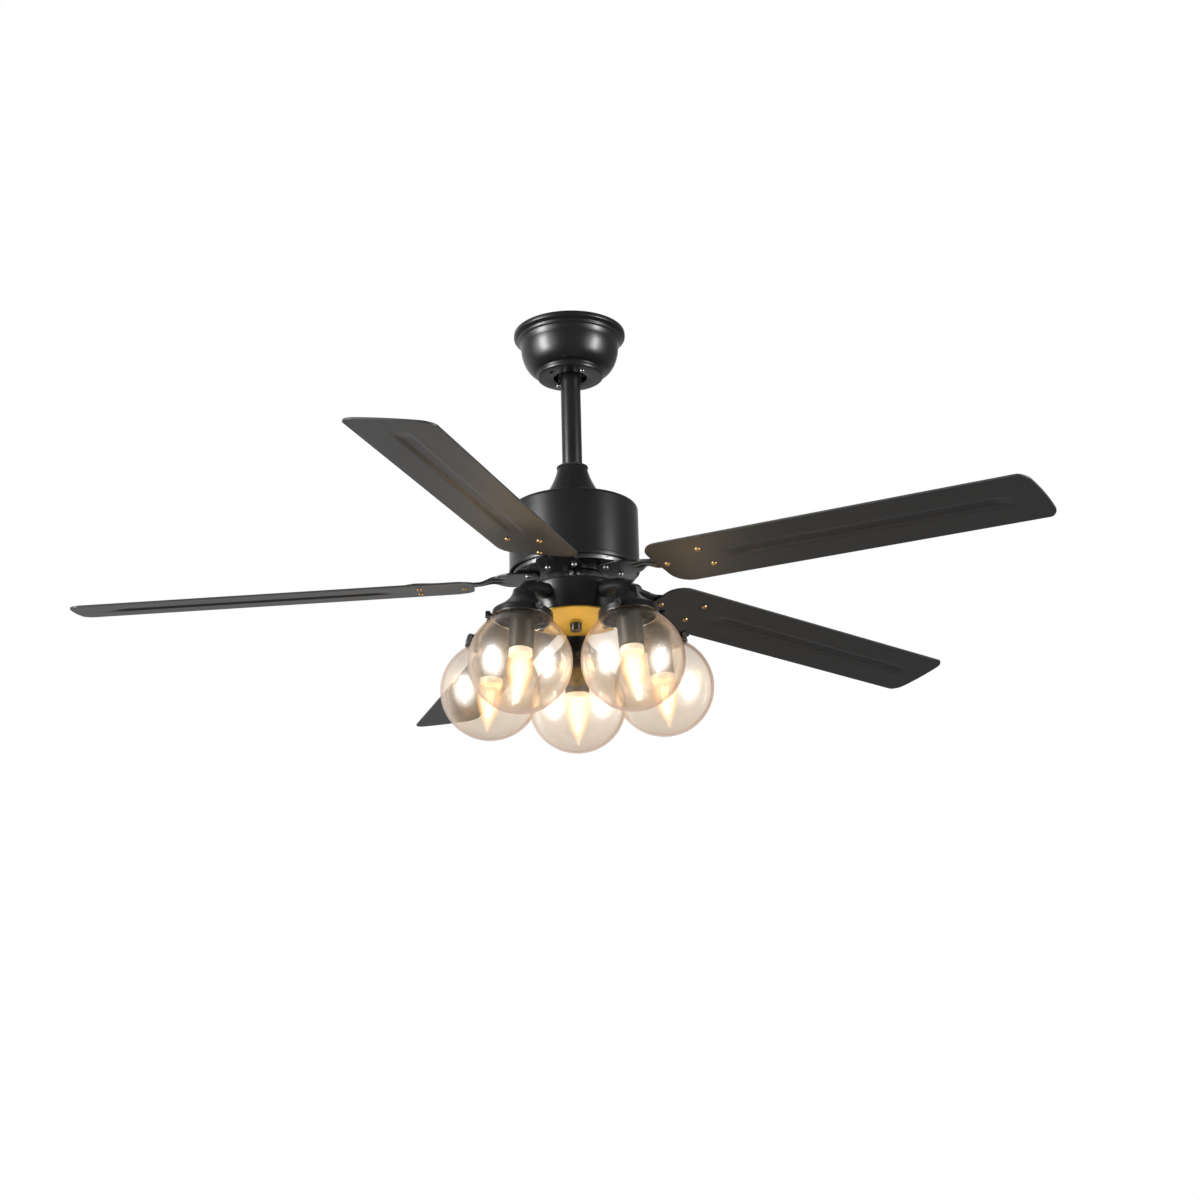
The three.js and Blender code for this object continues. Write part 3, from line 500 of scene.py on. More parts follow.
def show(name, mesh, material, body, node=None, place=None):
    """Puts a mesh in the scene, with its finish, on its body, and for the solid it stands for."""
    piece = bpy.data.objects.new(name, mesh)
    bpy.context.collection.objects.link(piece)
    mesh.materials.clear()
    mesh.materials.append(material)
    if place:
        piece.matrix_world = place
    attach(piece, body)
    if node:
        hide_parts(node)
    return piece


def smooth_mesh(name, bm, sharp=38):
    """Closes a bmesh into a mesh that is smooth except along edges sharper than an angle."""
    bmesh.ops.remove_doubles(bm, verts=bm.verts, dist=1e-6)
    bmesh.ops.recalc_face_normals(bm, faces=bm.faces)
    for face in bm.faces:
        face.smooth = True
    for edge in bm.edges:
        edge.smooth = edge.calc_face_angle(math.pi) < math.radians(sharp)
    mesh = bpy.data.meshes.new(name)
    bm.to_mesh(mesh)
    bm.free()
    return mesh


def turned(name, outline, sides=96, sharp=38):
    """A mesh from a closed outline of (radius, height), carried round the Z axis."""
    bm = bmesh.new()
    rings = []
    for radius, height in outline:
        rings.append([
            bm.verts.new((radius * math.cos(a), radius * math.sin(a), height))
            for a in (2 * math.pi * i / sides for i in range(sides))
        ])
    for ring, following in zip(rings, rings[1:] + rings[:1]):
        for i in range(sides):
            j = (i + 1) % sides
            bm.faces.new([ring[i], ring[j], following[j], following[i]])
    bmesh.ops.remove_doubles(bm, verts=bm.verts, dist=1e-7)
    bmesh.ops.dissolve_degenerate(bm, edges=bm.edges, dist=1e-7)
    return smooth_mesh(name, bm, sharp)


# %% [markdown]
# Some holes and slots don't go round an axis. They are cut with a boolean, as a drill or a punch would
# cut them, and the result is kept as a plain mesh.


# %% Cutting, boxes and screws
def as_object(mesh):
    made = bpy.data.objects.new(mesh.name, mesh)
    bpy.context.collection.objects.link(made)
    return made


def carved(mesh, cutters, sharp=38):
    """The mesh with the cutter meshes taken out of it."""
    stock = as_object(mesh)
    tools = [as_object(cutter) for cutter in cutters]
    for tool in tools:
        cut = stock.modifiers.new("cut", "BOOLEAN")
        cut.operation = "DIFFERENCE"
        cut.object = tool
        cut.solver = "EXACT"
    shaped = stock.evaluated_get(bpy.context.evaluated_depsgraph_get())
    bm = bmesh.new()
    bm.from_mesh(shaped.to_mesh())
    for spent in [stock, *tools]:
        bpy.data.objects.remove(spent)
    return smooth_mesh(mesh.name, bm, sharp)


def block(size, place, bevel=0.0):
    """A box of a size, put in place by a matrix, with its edges rounded if a bevel is given."""
    bm = bmesh.new()
    bmesh.ops.create_cube(bm, size=1.0)
    bmesh.ops.scale(bm, vec=size, verts=bm.verts)
    if bevel:
        bmesh.ops.bevel(bm, geom=bm.edges, offset=bevel, segments=3, profile=0.5, affect="EDGES")
    bmesh.ops.transform(bm, matrix=place, verts=bm.verts)
    return smooth_mesh("block", bm)


def rod(radius, start, end, sides=32):
    """A round bar between two points."""
    start, end = Vector(start), Vector(end)
    line = end - start
    place = Matrix.Translation((start + end) / 2) @ line.to_track_quat("Z", "Y").to_matrix().to_4x4()
    bm = bmesh.new()
    bmesh.ops.create_cone(
        bm, cap_ends=True, segments=sides, radius1=radius, radius2=radius, depth=line.length, matrix=place
    )
    return smooth_mesh("rod", bm)


def screw(name, head, height, shank, length):
    """A pan-head screw with a cross recess: its head is above z = 0 and its shank below."""
    outline = [
        Vector((0, height)),
        Vector((0.45 * head, 0.97 * height)),
        Vector((0.8 * head, 0.74 * height)),
        Vector((0.97 * head, 0.42 * height)),
        Vector((head, 0.1 * height)),
        Vector((0.97 * head, 0)),
        Vector((shank, 0)),
        Vector((shank, -length)),
        Vector((0, -length)),
    ]
    recess = [
        block((wide, deep, height), Matrix.Translation((0, 0, 1.05 * height)))
        for wide, deep in ((1.15 * head, 0.24 * head), (0.24 * head, 1.15 * head))
    ]
    return carved(turned(name, outline, sides=32), recess)


print("tools ready")

# %% [markdown]
# ## Canopy
# The canopy hides the hanger bracket and the wiring. It is spun from steel: a rolled rim, a step, a deep
# bowl and a flat floor with a hole for the rod. One outline gives the whole shape.

# %% Canopy
canopy_depth = -base_of("canopy")
CANOPY_RIM = radius_of("canopy")
CANOPY_FLOOR = 45.5 * MM
CANOPY_HOLE = 23 * MM
CANOPY_SCREWS = [(29.5 * MM, 124), (29.5 * MM, 304)]


def polar(radius, degrees):
    return radius * math.cos(math.radians(degrees)), radius * math.sin(math.radians(degrees))


def bowl(shrink, count=14):
    """The bowl's curve from its shoulder down to the floor's edge."""
    points = []
    for i in range(count + 1):
        a = math.radians(90 * i / count)
        radius = CANOPY_FLOOR + 1.2 * MM + 20.8 * MM * math.cos(a) ** 1.1
        height = -18.5 * MM - (canopy_depth - 26.5 * MM) * math.sin(a)
        points.append((radius - shrink, height + shrink * math.sin(a), 0))
    return points


canopy_outline = rounded([
    (CANOPY_HOLE, -canopy_depth, 0.7 * MM),
    (CANOPY_FLOOR, -canopy_depth, 2.6 * MM),
    (CANOPY_FLOOR, -canopy_depth + 7.4 * MM, 0.5 * MM),
    *reversed(bowl(0)),
    (69.3 * MM, -14.6 * MM, 0.8 * MM),
    (71.3 * MM, -12.6 * MM, 1.2 * MM),
    (71.6 * MM, -9.6 * MM, 1.0 * MM),
    (74.4 * MM, -8.2 * MM, 0.8 * MM),
    (CANOPY_RIM, -6.4 * MM, 2.0 * MM),
    (CANOPY_RIM, -CLEARANCE, 1.5 * MM),
    (CANOPY_RIM - 2.5 * MM, -CLEARANCE, 0.8 * MM),
    (70 * MM, -7 * MM, 1.0 * MM),
    *bowl(SHEET),
    (CANOPY_FLOOR - SHEET, -canopy_depth + SHEET, 1.5 * MM),
    (CANOPY_HOLE, -canopy_depth + SHEET, 0.7 * MM),
])
slot_at = Matrix.Translation((*polar(33 * MM, -139), -canopy_depth))
SLOT_SIZE = (10 * MM, 4.6 * MM, 8 * MM)
canopy_cuts = [block(SLOT_SIZE, slot_at @ turned_about_axis(-49))]
for radius, degrees in CANOPY_SCREWS:
    x, y = polar(radius, degrees)
    canopy_cuts.append(rod(2.2 * MM, (x, y, -canopy_depth - 4 * MM), (x, y, -canopy_depth + 4 * MM)))
canopy_mesh = carved(turned("canopy_shell", canopy_outline), canopy_cuts)
show("canopy_shell", canopy_mesh, SATIN_BLACK, "ceiling_mount", node="canopy")
print("canopy:", len(canopy_mesh.polygons), "faces")

# %% [markdown]
# ## Screws in the canopy
# Two pan-head screws hold the canopy to the bracket. Their heads hang below the floor.

# %% Canopy screws
upside_down = Matrix.Rotation(math.pi, 4, "X")
for i, (radius, degrees) in enumerate(CANOPY_SCREWS, 1):
    x, y = polar(radius, degrees)
    place = Matrix.Translation((x, y, -canopy_depth - CLEARANCE)) @ upside_down @ turned_about_axis(40 * i)
    mesh = screw("canopy_screw_head", 3.6 * MM, 2.4 * MM, 1.8 * MM, 8 * MM)
    show(f"canopy_screw_head_{i}", mesh, ZINC, "ceiling_mount", f"canopy_screw_{i}", place)
print("canopy screws:", len(CANOPY_SCREWS))

# %% [markdown]
# ## Downrod, coupling cover and grommet
# The rod is drawn tube. The cover slides on it and hides the yoke. It is a trumpet whose flare steepens
# towards the motor, and a rubber grommet closes the gap to the rod.

# %% Downrod
rod_base, rod_top = base_of("downrod"), top_of("downrod")
rod_outline = rounded([
    (ROD_RADIUS - 2.2 * MM, rod_base, 0),
    (ROD_RADIUS, rod_base, 0.5 * MM),
    (ROD_RADIUS, rod_top, 0.5 * MM),
    (ROD_RADIUS - 2.2 * MM, rod_top, 0),
])
rod_mesh = turned("downrod_tube", rod_outline)
show("downrod_tube", rod_mesh, SATIN_BLACK, "hanging_motor", "downrod")
print("downrod:", round((rod_top - rod_base) / MM, 1), "mm long")

# %% [markdown]
# The coupling cover is spun like the canopy. A power of the height gives the trumpet's flare, which is
# shorter than a list of points and easy to make fuller or slimmer.

# %% Coupling cover
cover_base, cover_top = base_of("coupling_cover"), top_of("coupling_cover")
cover_height = cover_top - cover_base
COVER_TOP_RADIUS = 20.5 * MM
COVER_FLARE = radius_of("coupling_cover") - COVER_TOP_RADIUS


def cover_curve(shrink, drop=0.0, count=18):
    points = []
    for i in range(count + 1):
        share = i / count
        radius = COVER_TOP_RADIUS + COVER_FLARE * (1 - share) ** 1.45
        points.append((radius - shrink, cover_base + cover_height * share - drop * share, 0))
    return points


lip = radius_of("cover_grommet") - 5 * MM
cover_outline = rounded([
    *cover_curve(0)[:-1],
    (COVER_TOP_RADIUS, cover_top, 1.2 * MM),
    (lip, cover_top, 0),
    (lip, cover_top - SHEET, 0),
    *reversed(cover_curve(SHEET, SHEET)[:-1]),
])
cover_mesh = turned("coupling_trumpet", cover_outline)
show("coupling_trumpet", cover_mesh, SATIN_BLACK, "coupling_cover", "coupling_cover")
print("cover from", round(cover_base, 4), "to", round(cover_top, 4))

# %% [markdown]
# The grommet is a rubber ring with a narrow neck in the cover's mouth and a brim on top of it. A torus
# would have no neck, so it is turned from its outline too.

# %% Grommet
grommet_low, grommet_high = base_of("cover_grommet"), top_of("cover_grommet")
brim = radius_of("cover_grommet")
grommet_outline = rounded([
    (ROD_RADIUS + CLEARANCE, grommet_low, 0),
    (ROD_RADIUS + 2.3 * MM, grommet_low, 0.4 * MM),
    (ROD_RADIUS + 2.3 * MM, cover_top + CLEARANCE, 0.2 * MM),
    (brim, cover_top + CLEARANCE, 0.6 * MM),
    (brim, cover_top + 2.4 * MM, 0.9 * MM),
    (ROD_RADIUS + 2.6 * MM, grommet_high, 0.8 * MM),
    (ROD_RADIUS + CLEARANCE, grommet_high, 0.3 * MM),
])
grommet_mesh = turned("grommet_ring", grommet_outline)
show("grommet_ring", grommet_mesh, RUBBER, "coupling_cover", "cover_grommet")
print("grommet:", len(grommet_mesh.polygons), "faces")

# %% [markdown]
# ## Motor housing and rotor
# The housing is a spun can, open below. The rotor turns inside it and shows as a narrow band under the
# can's rolled edge, where the blade brackets are screwed on.

# %% Motor housing
SHAFT_HOLE = 9.3 * MM
HOUSING_WALL = HOUSING_RADIUS - 0.5 * MM  # above the rolled edge
HOUSING_LID = HOUSING_TOP - 0.8 * MM  # inside the raised rim
housing_outline = rounded([
    (HOUSING_RADIUS - 2.4 * MM, HOUSING_BASE, 0.6 * MM),
    (HOUSING_RADIUS, HOUSING_BASE, 1.4 * MM),
    (HOUSING_RADIUS, HOUSING_BASE + 5 * MM, 0.4 * MM),
    (HOUSING_WALL, HOUSING_BASE + 6 * MM, 0.4 * MM),
    (HOUSING_WALL, HOUSING_TOP, 5.5 * MM),
    (58 * MM, HOUSING_TOP, 1.0 * MM),
    (56 * MM, HOUSING_LID, 1.0 * MM),
    (SHAFT_HOLE, HOUSING_LID, 0),
    (SHAFT_HOLE, HOUSING_LID - SHEET, 0),
    (HOUSING_WALL - SHEET, HOUSING_LID - SHEET, 4.5 * MM),
    (HOUSING_WALL - SHEET, HOUSING_BASE + 5 * MM, 0.4 * MM),
    (HOUSING_RADIUS - 2.4 * MM, HOUSING_BASE + 4 * MM, 0.4 * MM),
], steps=6)
housing_mesh = turned("housing_can", housing_outline, sides=128)
show("housing_can", housing_mesh, SATIN_BLACK, "hanging_motor", "motor_housing")
print("housing:", len(housing_mesh.polygons), "faces")

# %% [markdown]
# The rotor pan is a shallow dish with a pressed ring in its floor and a hub for the lower bearing. The
# hub and the ring are in the same outline as the wall, so the pan stays one closed shell.

# %% Rotor pan
rotor_top = top_of("rotor_pan")
pan_outline = rounded([
    (16 * MM, ROTOR_BASE, 0.5 * MM),
    (38 * MM, ROTOR_BASE, 0.8 * MM),
    (39 * MM, ROTOR_BASE + 1 * MM, 0.8 * MM),
    (43 * MM, ROTOR_BASE + 1 * MM, 0.8 * MM),
    (44 * MM, ROTOR_BASE, 0.8 * MM),
    (ROTOR_RADIUS, ROTOR_BASE, 2.2 * MM),
    (ROTOR_RADIUS, rotor_top, 0.5 * MM),
    (ROTOR_RADIUS - 4 * MM, rotor_top, 0.5 * MM),
    (ROTOR_RADIUS - 4 * MM, ROTOR_BASE + 4 * MM, 2 * MM),
    (24.3 * MM, ROTOR_BASE + 4 * MM, 0),
    (24.3 * MM, ROTOR_BASE + 11 * MM, 0),
    (20.3 * MM, ROTOR_BASE + 11 * MM, 0),
    (20.3 * MM, ROTOR_BASE + 2 * MM, 0),
    (16 * MM, ROTOR_BASE + 2 * MM, 0),
])
pan_mesh = turned("rotor_shell", pan_outline, sides=128)
show("rotor_shell", pan_mesh, DARK_STEEL, "rotor", "rotor_pan")
print("rotor shows", round((HOUSING_BASE - ROTOR_BASE) / MM, 1), "mm below the housing")

# %% [markdown]
# ## Sheets with a pressed shape
# A blade and its bracket are both cut from sheet and pressed. Each is modelled as its middle surface, a
# grid of points along and across it, and then thickened and given a small bevel, as the cut edge has.


# %% A sheet from rows of points
def pressed_sheet(name, rows, thickness, place, material, body, node):
    bm = bmesh.new()
    grid = [[bm.verts.new(point) for point in row] for row in rows]
    for near, far in zip(grid, grid[1:]):
        for i in range(len(near) - 1):
            bm.faces.new([near[i], far[i], far[i + 1], near[i + 1]])
    piece = show(name, smooth_mesh(name, bm, 80), material, body, node, place)
    thick = piece.modifiers.new("thickness", "SOLIDIFY")
    thick.thickness = thickness
    thick.offset = 0
    thick.use_even_offset = True
    edge = piece.modifiers.new("cut_edge", "BEVEL")
    edge.width = 0.22 * thickness
    edge.segments = 2
    edge.limit_method = "ANGLE"
    edge.angle_limit = math.radians(60)
    return piece


def smoothstep(value, low, high):
    share = min(1.0, max(0.0, (value - low) / (high - low)))
    return share * share * (3 - 2 * share)


# %% [markdown]
# ## Blades
# Each blade is a long plate with rounded corners, wider ones at the root, and one flat rib pressed up
# along its middle, which stiffens it. It sits under its bracket on the pitched and drooping plane.

# %% Blade surface
ROOT_CORNER = 26 * MM
TIP_CORNER = 16 * MM
TIP_BULGE = 4 * MM
RIB_HALF = 13 * MM
RIB_HEIGHT = 2.6 * MM
RIB_START = 238 * MM
RIB_END = BLADE_TIP - 40 * MM
RIB_RUN = 26 * MM


def blade_half(s):
    half = BLADE_WIDTH / 2
    for from_end, corner in ((s - BLADE_ROOT, ROOT_CORNER), (BLADE_TIP - s, TIP_CORNER)):
        if from_end < corner:
            return half - corner + math.sqrt(corner**2 - (corner - from_end) ** 2)
    return half


def rib_height(s, w):
    along = smoothstep(s, RIB_START, RIB_START + RIB_RUN) * (1 - smoothstep(s, RIB_END - RIB_RUN, RIB_END))
    across = 1 - smoothstep(abs(w), 0.45 * RIB_HALF, RIB_HALF)
    return RIB_HEIGHT * along * across


def blade_rows():
    turn = [1 - math.cos(math.radians(90 * i / 8)) for i in range(9)]
    stations = [BLADE_ROOT + ROOT_CORNER * t for t in turn]
    plain = 46
    start, end = BLADE_ROOT + ROOT_CORNER, BLADE_TIP - TIP_CORNER
    stations += [start + (end - start) * i / plain for i in range(1, plain)]
    stations += [BLADE_TIP - TIP_CORNER * t for t in reversed(turn)]
    shares = [-1, -0.94, -0.8, -0.6, -0.42, *[i / 40 for i in range(-12, 13)], 0.42, 0.6, 0.8, 0.94, 1]
    rows = []
    for s in stations:
        row = []
        for share in shares:
            w = share * blade_half(s)
            back = TIP_BULGE * smoothstep(s, BLADE_TIP - TIP_CORNER, BLADE_TIP) * (2 * w / BLADE_WIDTH) ** 2
            row.append(Vector((s - back, w + BLADE_OFFSET, rib_height(s, w))))
        rows.append(row)
    return rows


for k in range(BLADES):
    name = f"blade_{k + 1}"
    pressed_sheet(
        f"blade_sheet_{k + 1}", blade_rows(), BLADE_SHEET, blade_place(k), BLADE_BLACK, "rotor",
        name,
    )
print("blades:", BLADES)

# %% [markdown]
# ## Blade brackets
# A bracket is one pressed arm: a foot under the rotor, a narrow neck that twists to the blade's pitch,
# and a broad paddle on top of the blade. Two beads along the neck keep it from bending.

# %% Bracket surface
NECK_START = 105 * MM
NECK_END = 128 * MM
FOOT_Z = ROTOR_BASE - CLEARANCE - BRACKET_PLATE / 2
BRACKET_SHEET = 2.6 * MM
BRACKET_OUTLINE = [  # distance from the axis and half width, in millimetres
    (46, 14), (50, 22.5), (57, 27), (74, 27.4), (88, 26.5), (97, 21), (105, 14), (112, 12.5), (128, 12.5),
    (140, 17), (154, 22.5), (172, 28.5), (190, 34), (208, 40), (217, 39), (226, 29),
]


def outline_half(s):
    """The outline's half width at s, along a smooth curve through its points."""
    points = [(a * MM, b * MM) for a, b in BRACKET_OUTLINE]
    last = len(points) - 1
    i = max(j for j in range(last) if points[j][0] <= s + 1e-9)
    before, after = points[max(i - 1, 0)], points[min(i + 2, last)]
    (a, ya), (b, yb) = points[i], points[i + 1]
    t = (s - a) / (b - a)
    slope_a = (yb - before[1]) / (b - before[0]) * (b - a)
    slope_b = (after[1] - ya) / (after[0] - a) * (b - a)
    return (
        (2 * t**3 - 3 * t**2 + 1) * ya
        + (t**3 - 2 * t**2 + t) * slope_a
        + (3 * t**2 - 2 * t**3) * yb
        + (t**3 - t**2) * slope_b
    )


def bracket_rows():
    lift = BLADE_SHEET / 2 + CLEARANCE + BRACKET_PLATE / 2
    onto_blade = turned_about_axis(-BLADE_START) @ blade_place(0)
    rows = []
    count = 72
    for i in range(count + 1):
        s = FOOT_START + (PADDLE_END - FOOT_START) * i / count
        half = outline_half(s)
        twist = smoothstep(s, NECK_START, NECK_END)
        bead_run = smoothstep(s, 90 * MM, 100 * MM) * (1 - smoothstep(s, 150 * MM, 165 * MM))
        row = []
        for j in range(-9, 10):
            w = half * j / 9
            bead = 1.3 * MM * bead_run * math.exp(-(((abs(w) - 6 * MM) / (2.2 * MM)) ** 2))
            flat = Vector((s, w, FOOT_Z + bead))
            pitched = onto_blade @ Vector((s, w + BLADE_OFFSET, lift + bead))
            row.append(flat.lerp(pitched, twist))
        rows.append(row)
    return rows


for k in range(BLADES):
    place = turned_about_axis(BLADE_START + 360 / BLADES * k)
    pressed_sheet(
        f"bracket_arm_{k + 1}", bracket_rows(), BRACKET_SHEET, place, SATIN_BLACK, "rotor",
        f"blade_bracket_{k + 1}",
    )
print("brackets:", BLADES)

# %% [markdown]
# ## Screws under the blades and the feet
# Three brass screws hold each blade, with their heads on the underside where they catch the light of the
# bulbs, and two zinc screws hold each foot to the rotor.

# %% Blade and foot screws
BLADE_SCREWS = [(147 * MM, -2 * MM), (206 * MM, -24.5 * MM), (206 * MM, 17.5 * MM)]
FOOT_SCREWS = [(62 * MM, -18 * MM), (62 * MM, 18 * MM)]
for k in range(BLADES):
    for i, (s, w) in enumerate(BLADE_SCREWS, 1):
        head = screw("blade_screw", 4.0 * MM, 2.2 * MM, 1.8 * MM, 4.5 * MM)
        under = Matrix.Translation((s, w, -BLADE_SHEET / 2))
        place = blade_place(k) @ under @ upside_down @ turned_about_axis(37 * (3 * k + i))
        show(f"blade_screw_{k + 1}_{i}", head, BRASS, "rotor", place=place)
    for i, (s, w) in enumerate(FOOT_SCREWS, 1):
        head = screw("foot_screw", 4.2 * MM, 2.8 * MM, 2.2 * MM, 4 * MM)
        under = Matrix.Translation((s, w, FOOT_Z - BRACKET_PLATE / 2 + 0.2 * MM))
        spoke = turned_about_axis(BLADE_START + 360 / BLADES * k)
        place = spoke @ under @ upside_down @ turned_about_axis(53 * (2 * k + i))
        show(f"foot_screw_{k + 1}_{i}", head, ZINC, "rotor", place=place)
print("screws:", BLADES * (len(BLADE_SCREWS) + len(FOOT_SCREWS)))

# %% [markdown]
# ## Light kit: adapter, drum, cap and knob
# The light kit hangs from the shaft's end. The drum is a short can from which the five arms leave. Its cap
# closes it from below, and a small knob holds the cap.

# %% Adapter
adapter_low, adapter_high = base_of("light_adapter"), top_of("light_adapter")
adapter_outline = rounded([
    (SHAFT_HOLE, adapter_low, 0),
    (34 * MM, adapter_low, 0.6 * MM),
    (34 * MM, adapter_low + 3.6 * MM, 1.2 * MM),
    (24 * MM, adapter_low + 5.6 * MM, 1.2 * MM),
    (24 * MM, adapter_high, 0.8 * MM),
    (SHAFT_HOLE, adapter_high, 0),
])
adapter_mesh = turned("adapter_collar", adapter_outline)
show("adapter_collar", adapter_mesh, SATIN_BLACK, "hanging_motor", "light_adapter")
print("adapter:", len(adapter_mesh.polygons), "faces")

# %% [markdown]
# The drum is drawn from sheet and then drilled for the arms. The holes are cut with round bars along the
# arms' own directions, so that each arm really passes through the wall.

# %% Drum
drum_outline = rounded([
    (DRUM_RADIUS - 2.2 * MM, DRUM_BASE, 0.5 * MM),
    (DRUM_RADIUS, DRUM_BASE, 0.9 * MM),
    (DRUM_RADIUS, DRUM_TOP, 3.2 * MM),
    (SHAFT_HOLE, DRUM_TOP, 0),
    (SHAFT_HOLE, DRUM_TOP - SHEET, 0),
    (DRUM_RADIUS - SHEET, DRUM_TOP - SHEET, 2.2 * MM),
    (DRUM_RADIUS - SHEET, DRUM_BASE + 3 * MM, 0.4 * MM),
    (DRUM_RADIUS - 2.2 * MM, DRUM_BASE + 2 * MM, 0.4 * MM),
], steps=5)
arm_holes = []
for k in range(LAMPS):
    spoke = turned_about_axis(LAMP_START + 360 / LAMPS * k)
    ends = [spoke @ Vector((DRUM_RADIUS + side * 12 * MM, 0, ARM_Z)) for side in (-1, 1)]
    arm_holes.append(rod(ARM_RADIUS + 0.6 * MM, *ends))
drum_mesh = carved(turned("drum_can", drum_outline, sides=128), arm_holes)
show("drum_can", drum_mesh, SATIN_BLACK, "hanging_motor", "lamp_drum")
print("drum:", len(drum_mesh.polygons), "faces")

# %% [markdown]
# The cap is a dish that is almost flat, and the knob is a small turned nut with a stud. Both
# are outlines round the axis, like the drum.

# %% Cap and knob
cap_low, cap_high = base_of("drum_cap"), top_of("drum_cap")
cap_outline = rounded([
    (3.4 * MM, cap_low, 0),
    (24 * MM, cap_low, 0.5 * MM),
    (0.6 * DRUM_RADIUS, cap_low + 0.9 * MM, 6 * MM),
    (0.86 * DRUM_RADIUS, cap_low + 2.0 * MM, 3 * MM),
    (DRUM_RADIUS - 0.6 * MM, cap_high - 1.9 * MM, 0.8 * MM),
    (DRUM_RADIUS - 0.2 * MM, cap_high, 0.5 * MM),
    (0.84 * DRUM_RADIUS, cap_high - 0.6 * MM, 1 * MM),
    (0.45 * DRUM_RADIUS, cap_low + 2.1 * MM, 1 * MM),
    (3.4 * MM, cap_low + SHEET, 0),
], steps=6)
cap_mesh = turned("drum_cap_dish", cap_outline, sides=128)
# The cap's gold finish is painted light from the bulbs.
show("drum_cap_dish", cap_mesh, BULB_GLOW_GOLD, "hanging_motor", "drum_cap")

knob_low, knob_high = base_of("finial_nut"), cap_low - CLEARANCE
KNOB_RADIUS = radius_of("finial_nut")
knob_outline = rounded([
    (0, knob_low + 0.6 * MM, 0),
    (0.5 * KNOB_RADIUS, knob_low + 0.6 * MM, 0.5 * MM),
    (0.6 * KNOB_RADIUS, knob_low, 0.4 * MM),
    (KNOB_RADIUS - 0.3 * MM, knob_low, 1.2 * MM),
    (KNOB_RADIUS - 0.3 * MM, knob_high - 2 * MM, 0.4 * MM),
    (KNOB_RADIUS, knob_high - 1.8 * MM, 0.4 * MM),
    (KNOB_RADIUS, knob_high, 0.4 * MM),
    (3 * MM, knob_high, 0),
    (3 * MM, knob_high + 8 * MM, 0),
    (0, knob_high + 8 * MM, 0),
])
knob_mesh = turned("finial_knob", knob_outline, sides=48)
show("finial_knob", knob_mesh, SATIN_BLACK, "hanging_motor", "finial_nut")
print("cap and knob end at", round(knob_low, 4))

# %% [markdown]
# ## Lamps
# The five lamps are alike, so each piece is made once about the lamp's own axis, with the globe's centre
# at the origin, and placed five times. A cup with a concave flare holds the globe's neck, and an arm
# bends from the drum down into the cup's crown.

# %% Cup and arm
THUMB_Z = CUP_BASE + 5 * MM


def cup_mesh():
    flare = CUP_RIM - CUP_TOP_RADIUS
    band = 9 * MM
    curve = []
    for i in range(17):
        share = i / 16
        height = CUP_BASE + band + (CUP_HEIGHT - band) * share
        curve.append((CUP_TOP_RADIUS + flare * (1 - share) ** 2, height, 0))
    crown = CUP_BASE + CUP_HEIGHT
    inner = [(radius - SHEET, height - SHEET, 0) for radius, height, _ in reversed(curve[:-2])]
    outline = rounded([
        (CUP_RIM - 2.2 * MM, CUP_BASE, 0.5 * MM),
        (CUP_RIM, CUP_BASE, 0.9 * MM),
        (CUP_RIM, CUP_BASE + 2 * MM, 0.4 * MM),
        (CUP_RIM - 0.5 * MM, CUP_BASE + 2.5 * MM, 0.4 * MM),
        (CUP_RIM - 0.5 * MM, CUP_BASE + band, 2 * MM),
        *curve[1:-1],
        (CUP_TOP_RADIUS, crown, 2 * MM),
        (0, crown, 0),
        (0, crown - 2 * SHEET, 0),
        (CUP_TOP_RADIUS - SHEET, crown - 2 * SHEET, 0),
        *inner[:-1],
        (CUP_RIM - 0.5 * MM - SHEET, CUP_BASE + band - SHEET, 1.5 * MM),
        (CUP_RIM - 0.5 * MM - SHEET, CUP_BASE + 2.5 * MM, 0.4 * MM),
    ])
    holes = []
    for degrees in THUMB_ANGLES:
        ends = [(*polar(CUP_RIM + side * 6 * MM, degrees), THUMB_Z) for side in (-1, 1)]
        holes.append(rod(2.4 * MM, *ends))
    return carved(turned("cup", outline), holes)


def to_lamp(radius, z):
    return lamp_place(0).inverted() @ turned_about_axis(LAMP_START) @ Vector((radius, 0, z))


def arm_mesh(count=22, sides=32):
    """A bent tube that leaves the drum level and turns down into the cup's crown."""
    start = to_lamp(DRUM_RADIUS - 5.5 * MM, ARM_Z)
    bend = to_lamp(LAMP_CIRCLE - 16 * MM, ARM_Z)
    end = Vector((0, 0, CUP_BASE + CUP_HEIGHT - SHEET))
    bm = bmesh.new()
    rings = []
    for i in range(count + 1):
        t = i / count
        centre = start * (1 - t) ** 2 + bend * 2 * t * (1 - t) + end * t**2
        along = ((bend - start) * (1 - t) + (end - bend) * t).normalized()
        across = Vector((0, 1, 0))
        over = along.cross(across)
        radius = ARM_RADIUS - 0.2 * MM
        rings.append([
            bm.verts.new(centre + radius * (math.cos(a) * across + math.sin(a) * over))
            for a in (2 * math.pi * j / sides for j in range(sides))
        ])
    for near, far in zip(rings, rings[1:]):
        for j in range(sides):
            following = (j + 1) % sides
            bm.faces.new([near[j], near[following], far[following], far[j]])
    bm.faces.new(rings[0])
    bm.faces.new(rings[-1])
    return smooth_mesh("arm", bm)


for k in range(LAMPS):
    place = lamp_place(k)
    arm_node = f"lamp_arm_{k + 1}"
    show(f"lamp_cup_{k + 1}", cup_mesh(), SATIN_BLACK, "hanging_motor", arm_node, place)
    show(f"lamp_tube_{k + 1}", arm_mesh(), SATIN_BLACK, "hanging_motor", place=place)
print("cups and arms:", LAMPS)

# %% [markdown]
# ## Thumbscrews
# Three thumbscrews hold each globe's neck in its cup. Their heads are knurled, so the turned mesh takes a
# shallow flute on every second side.


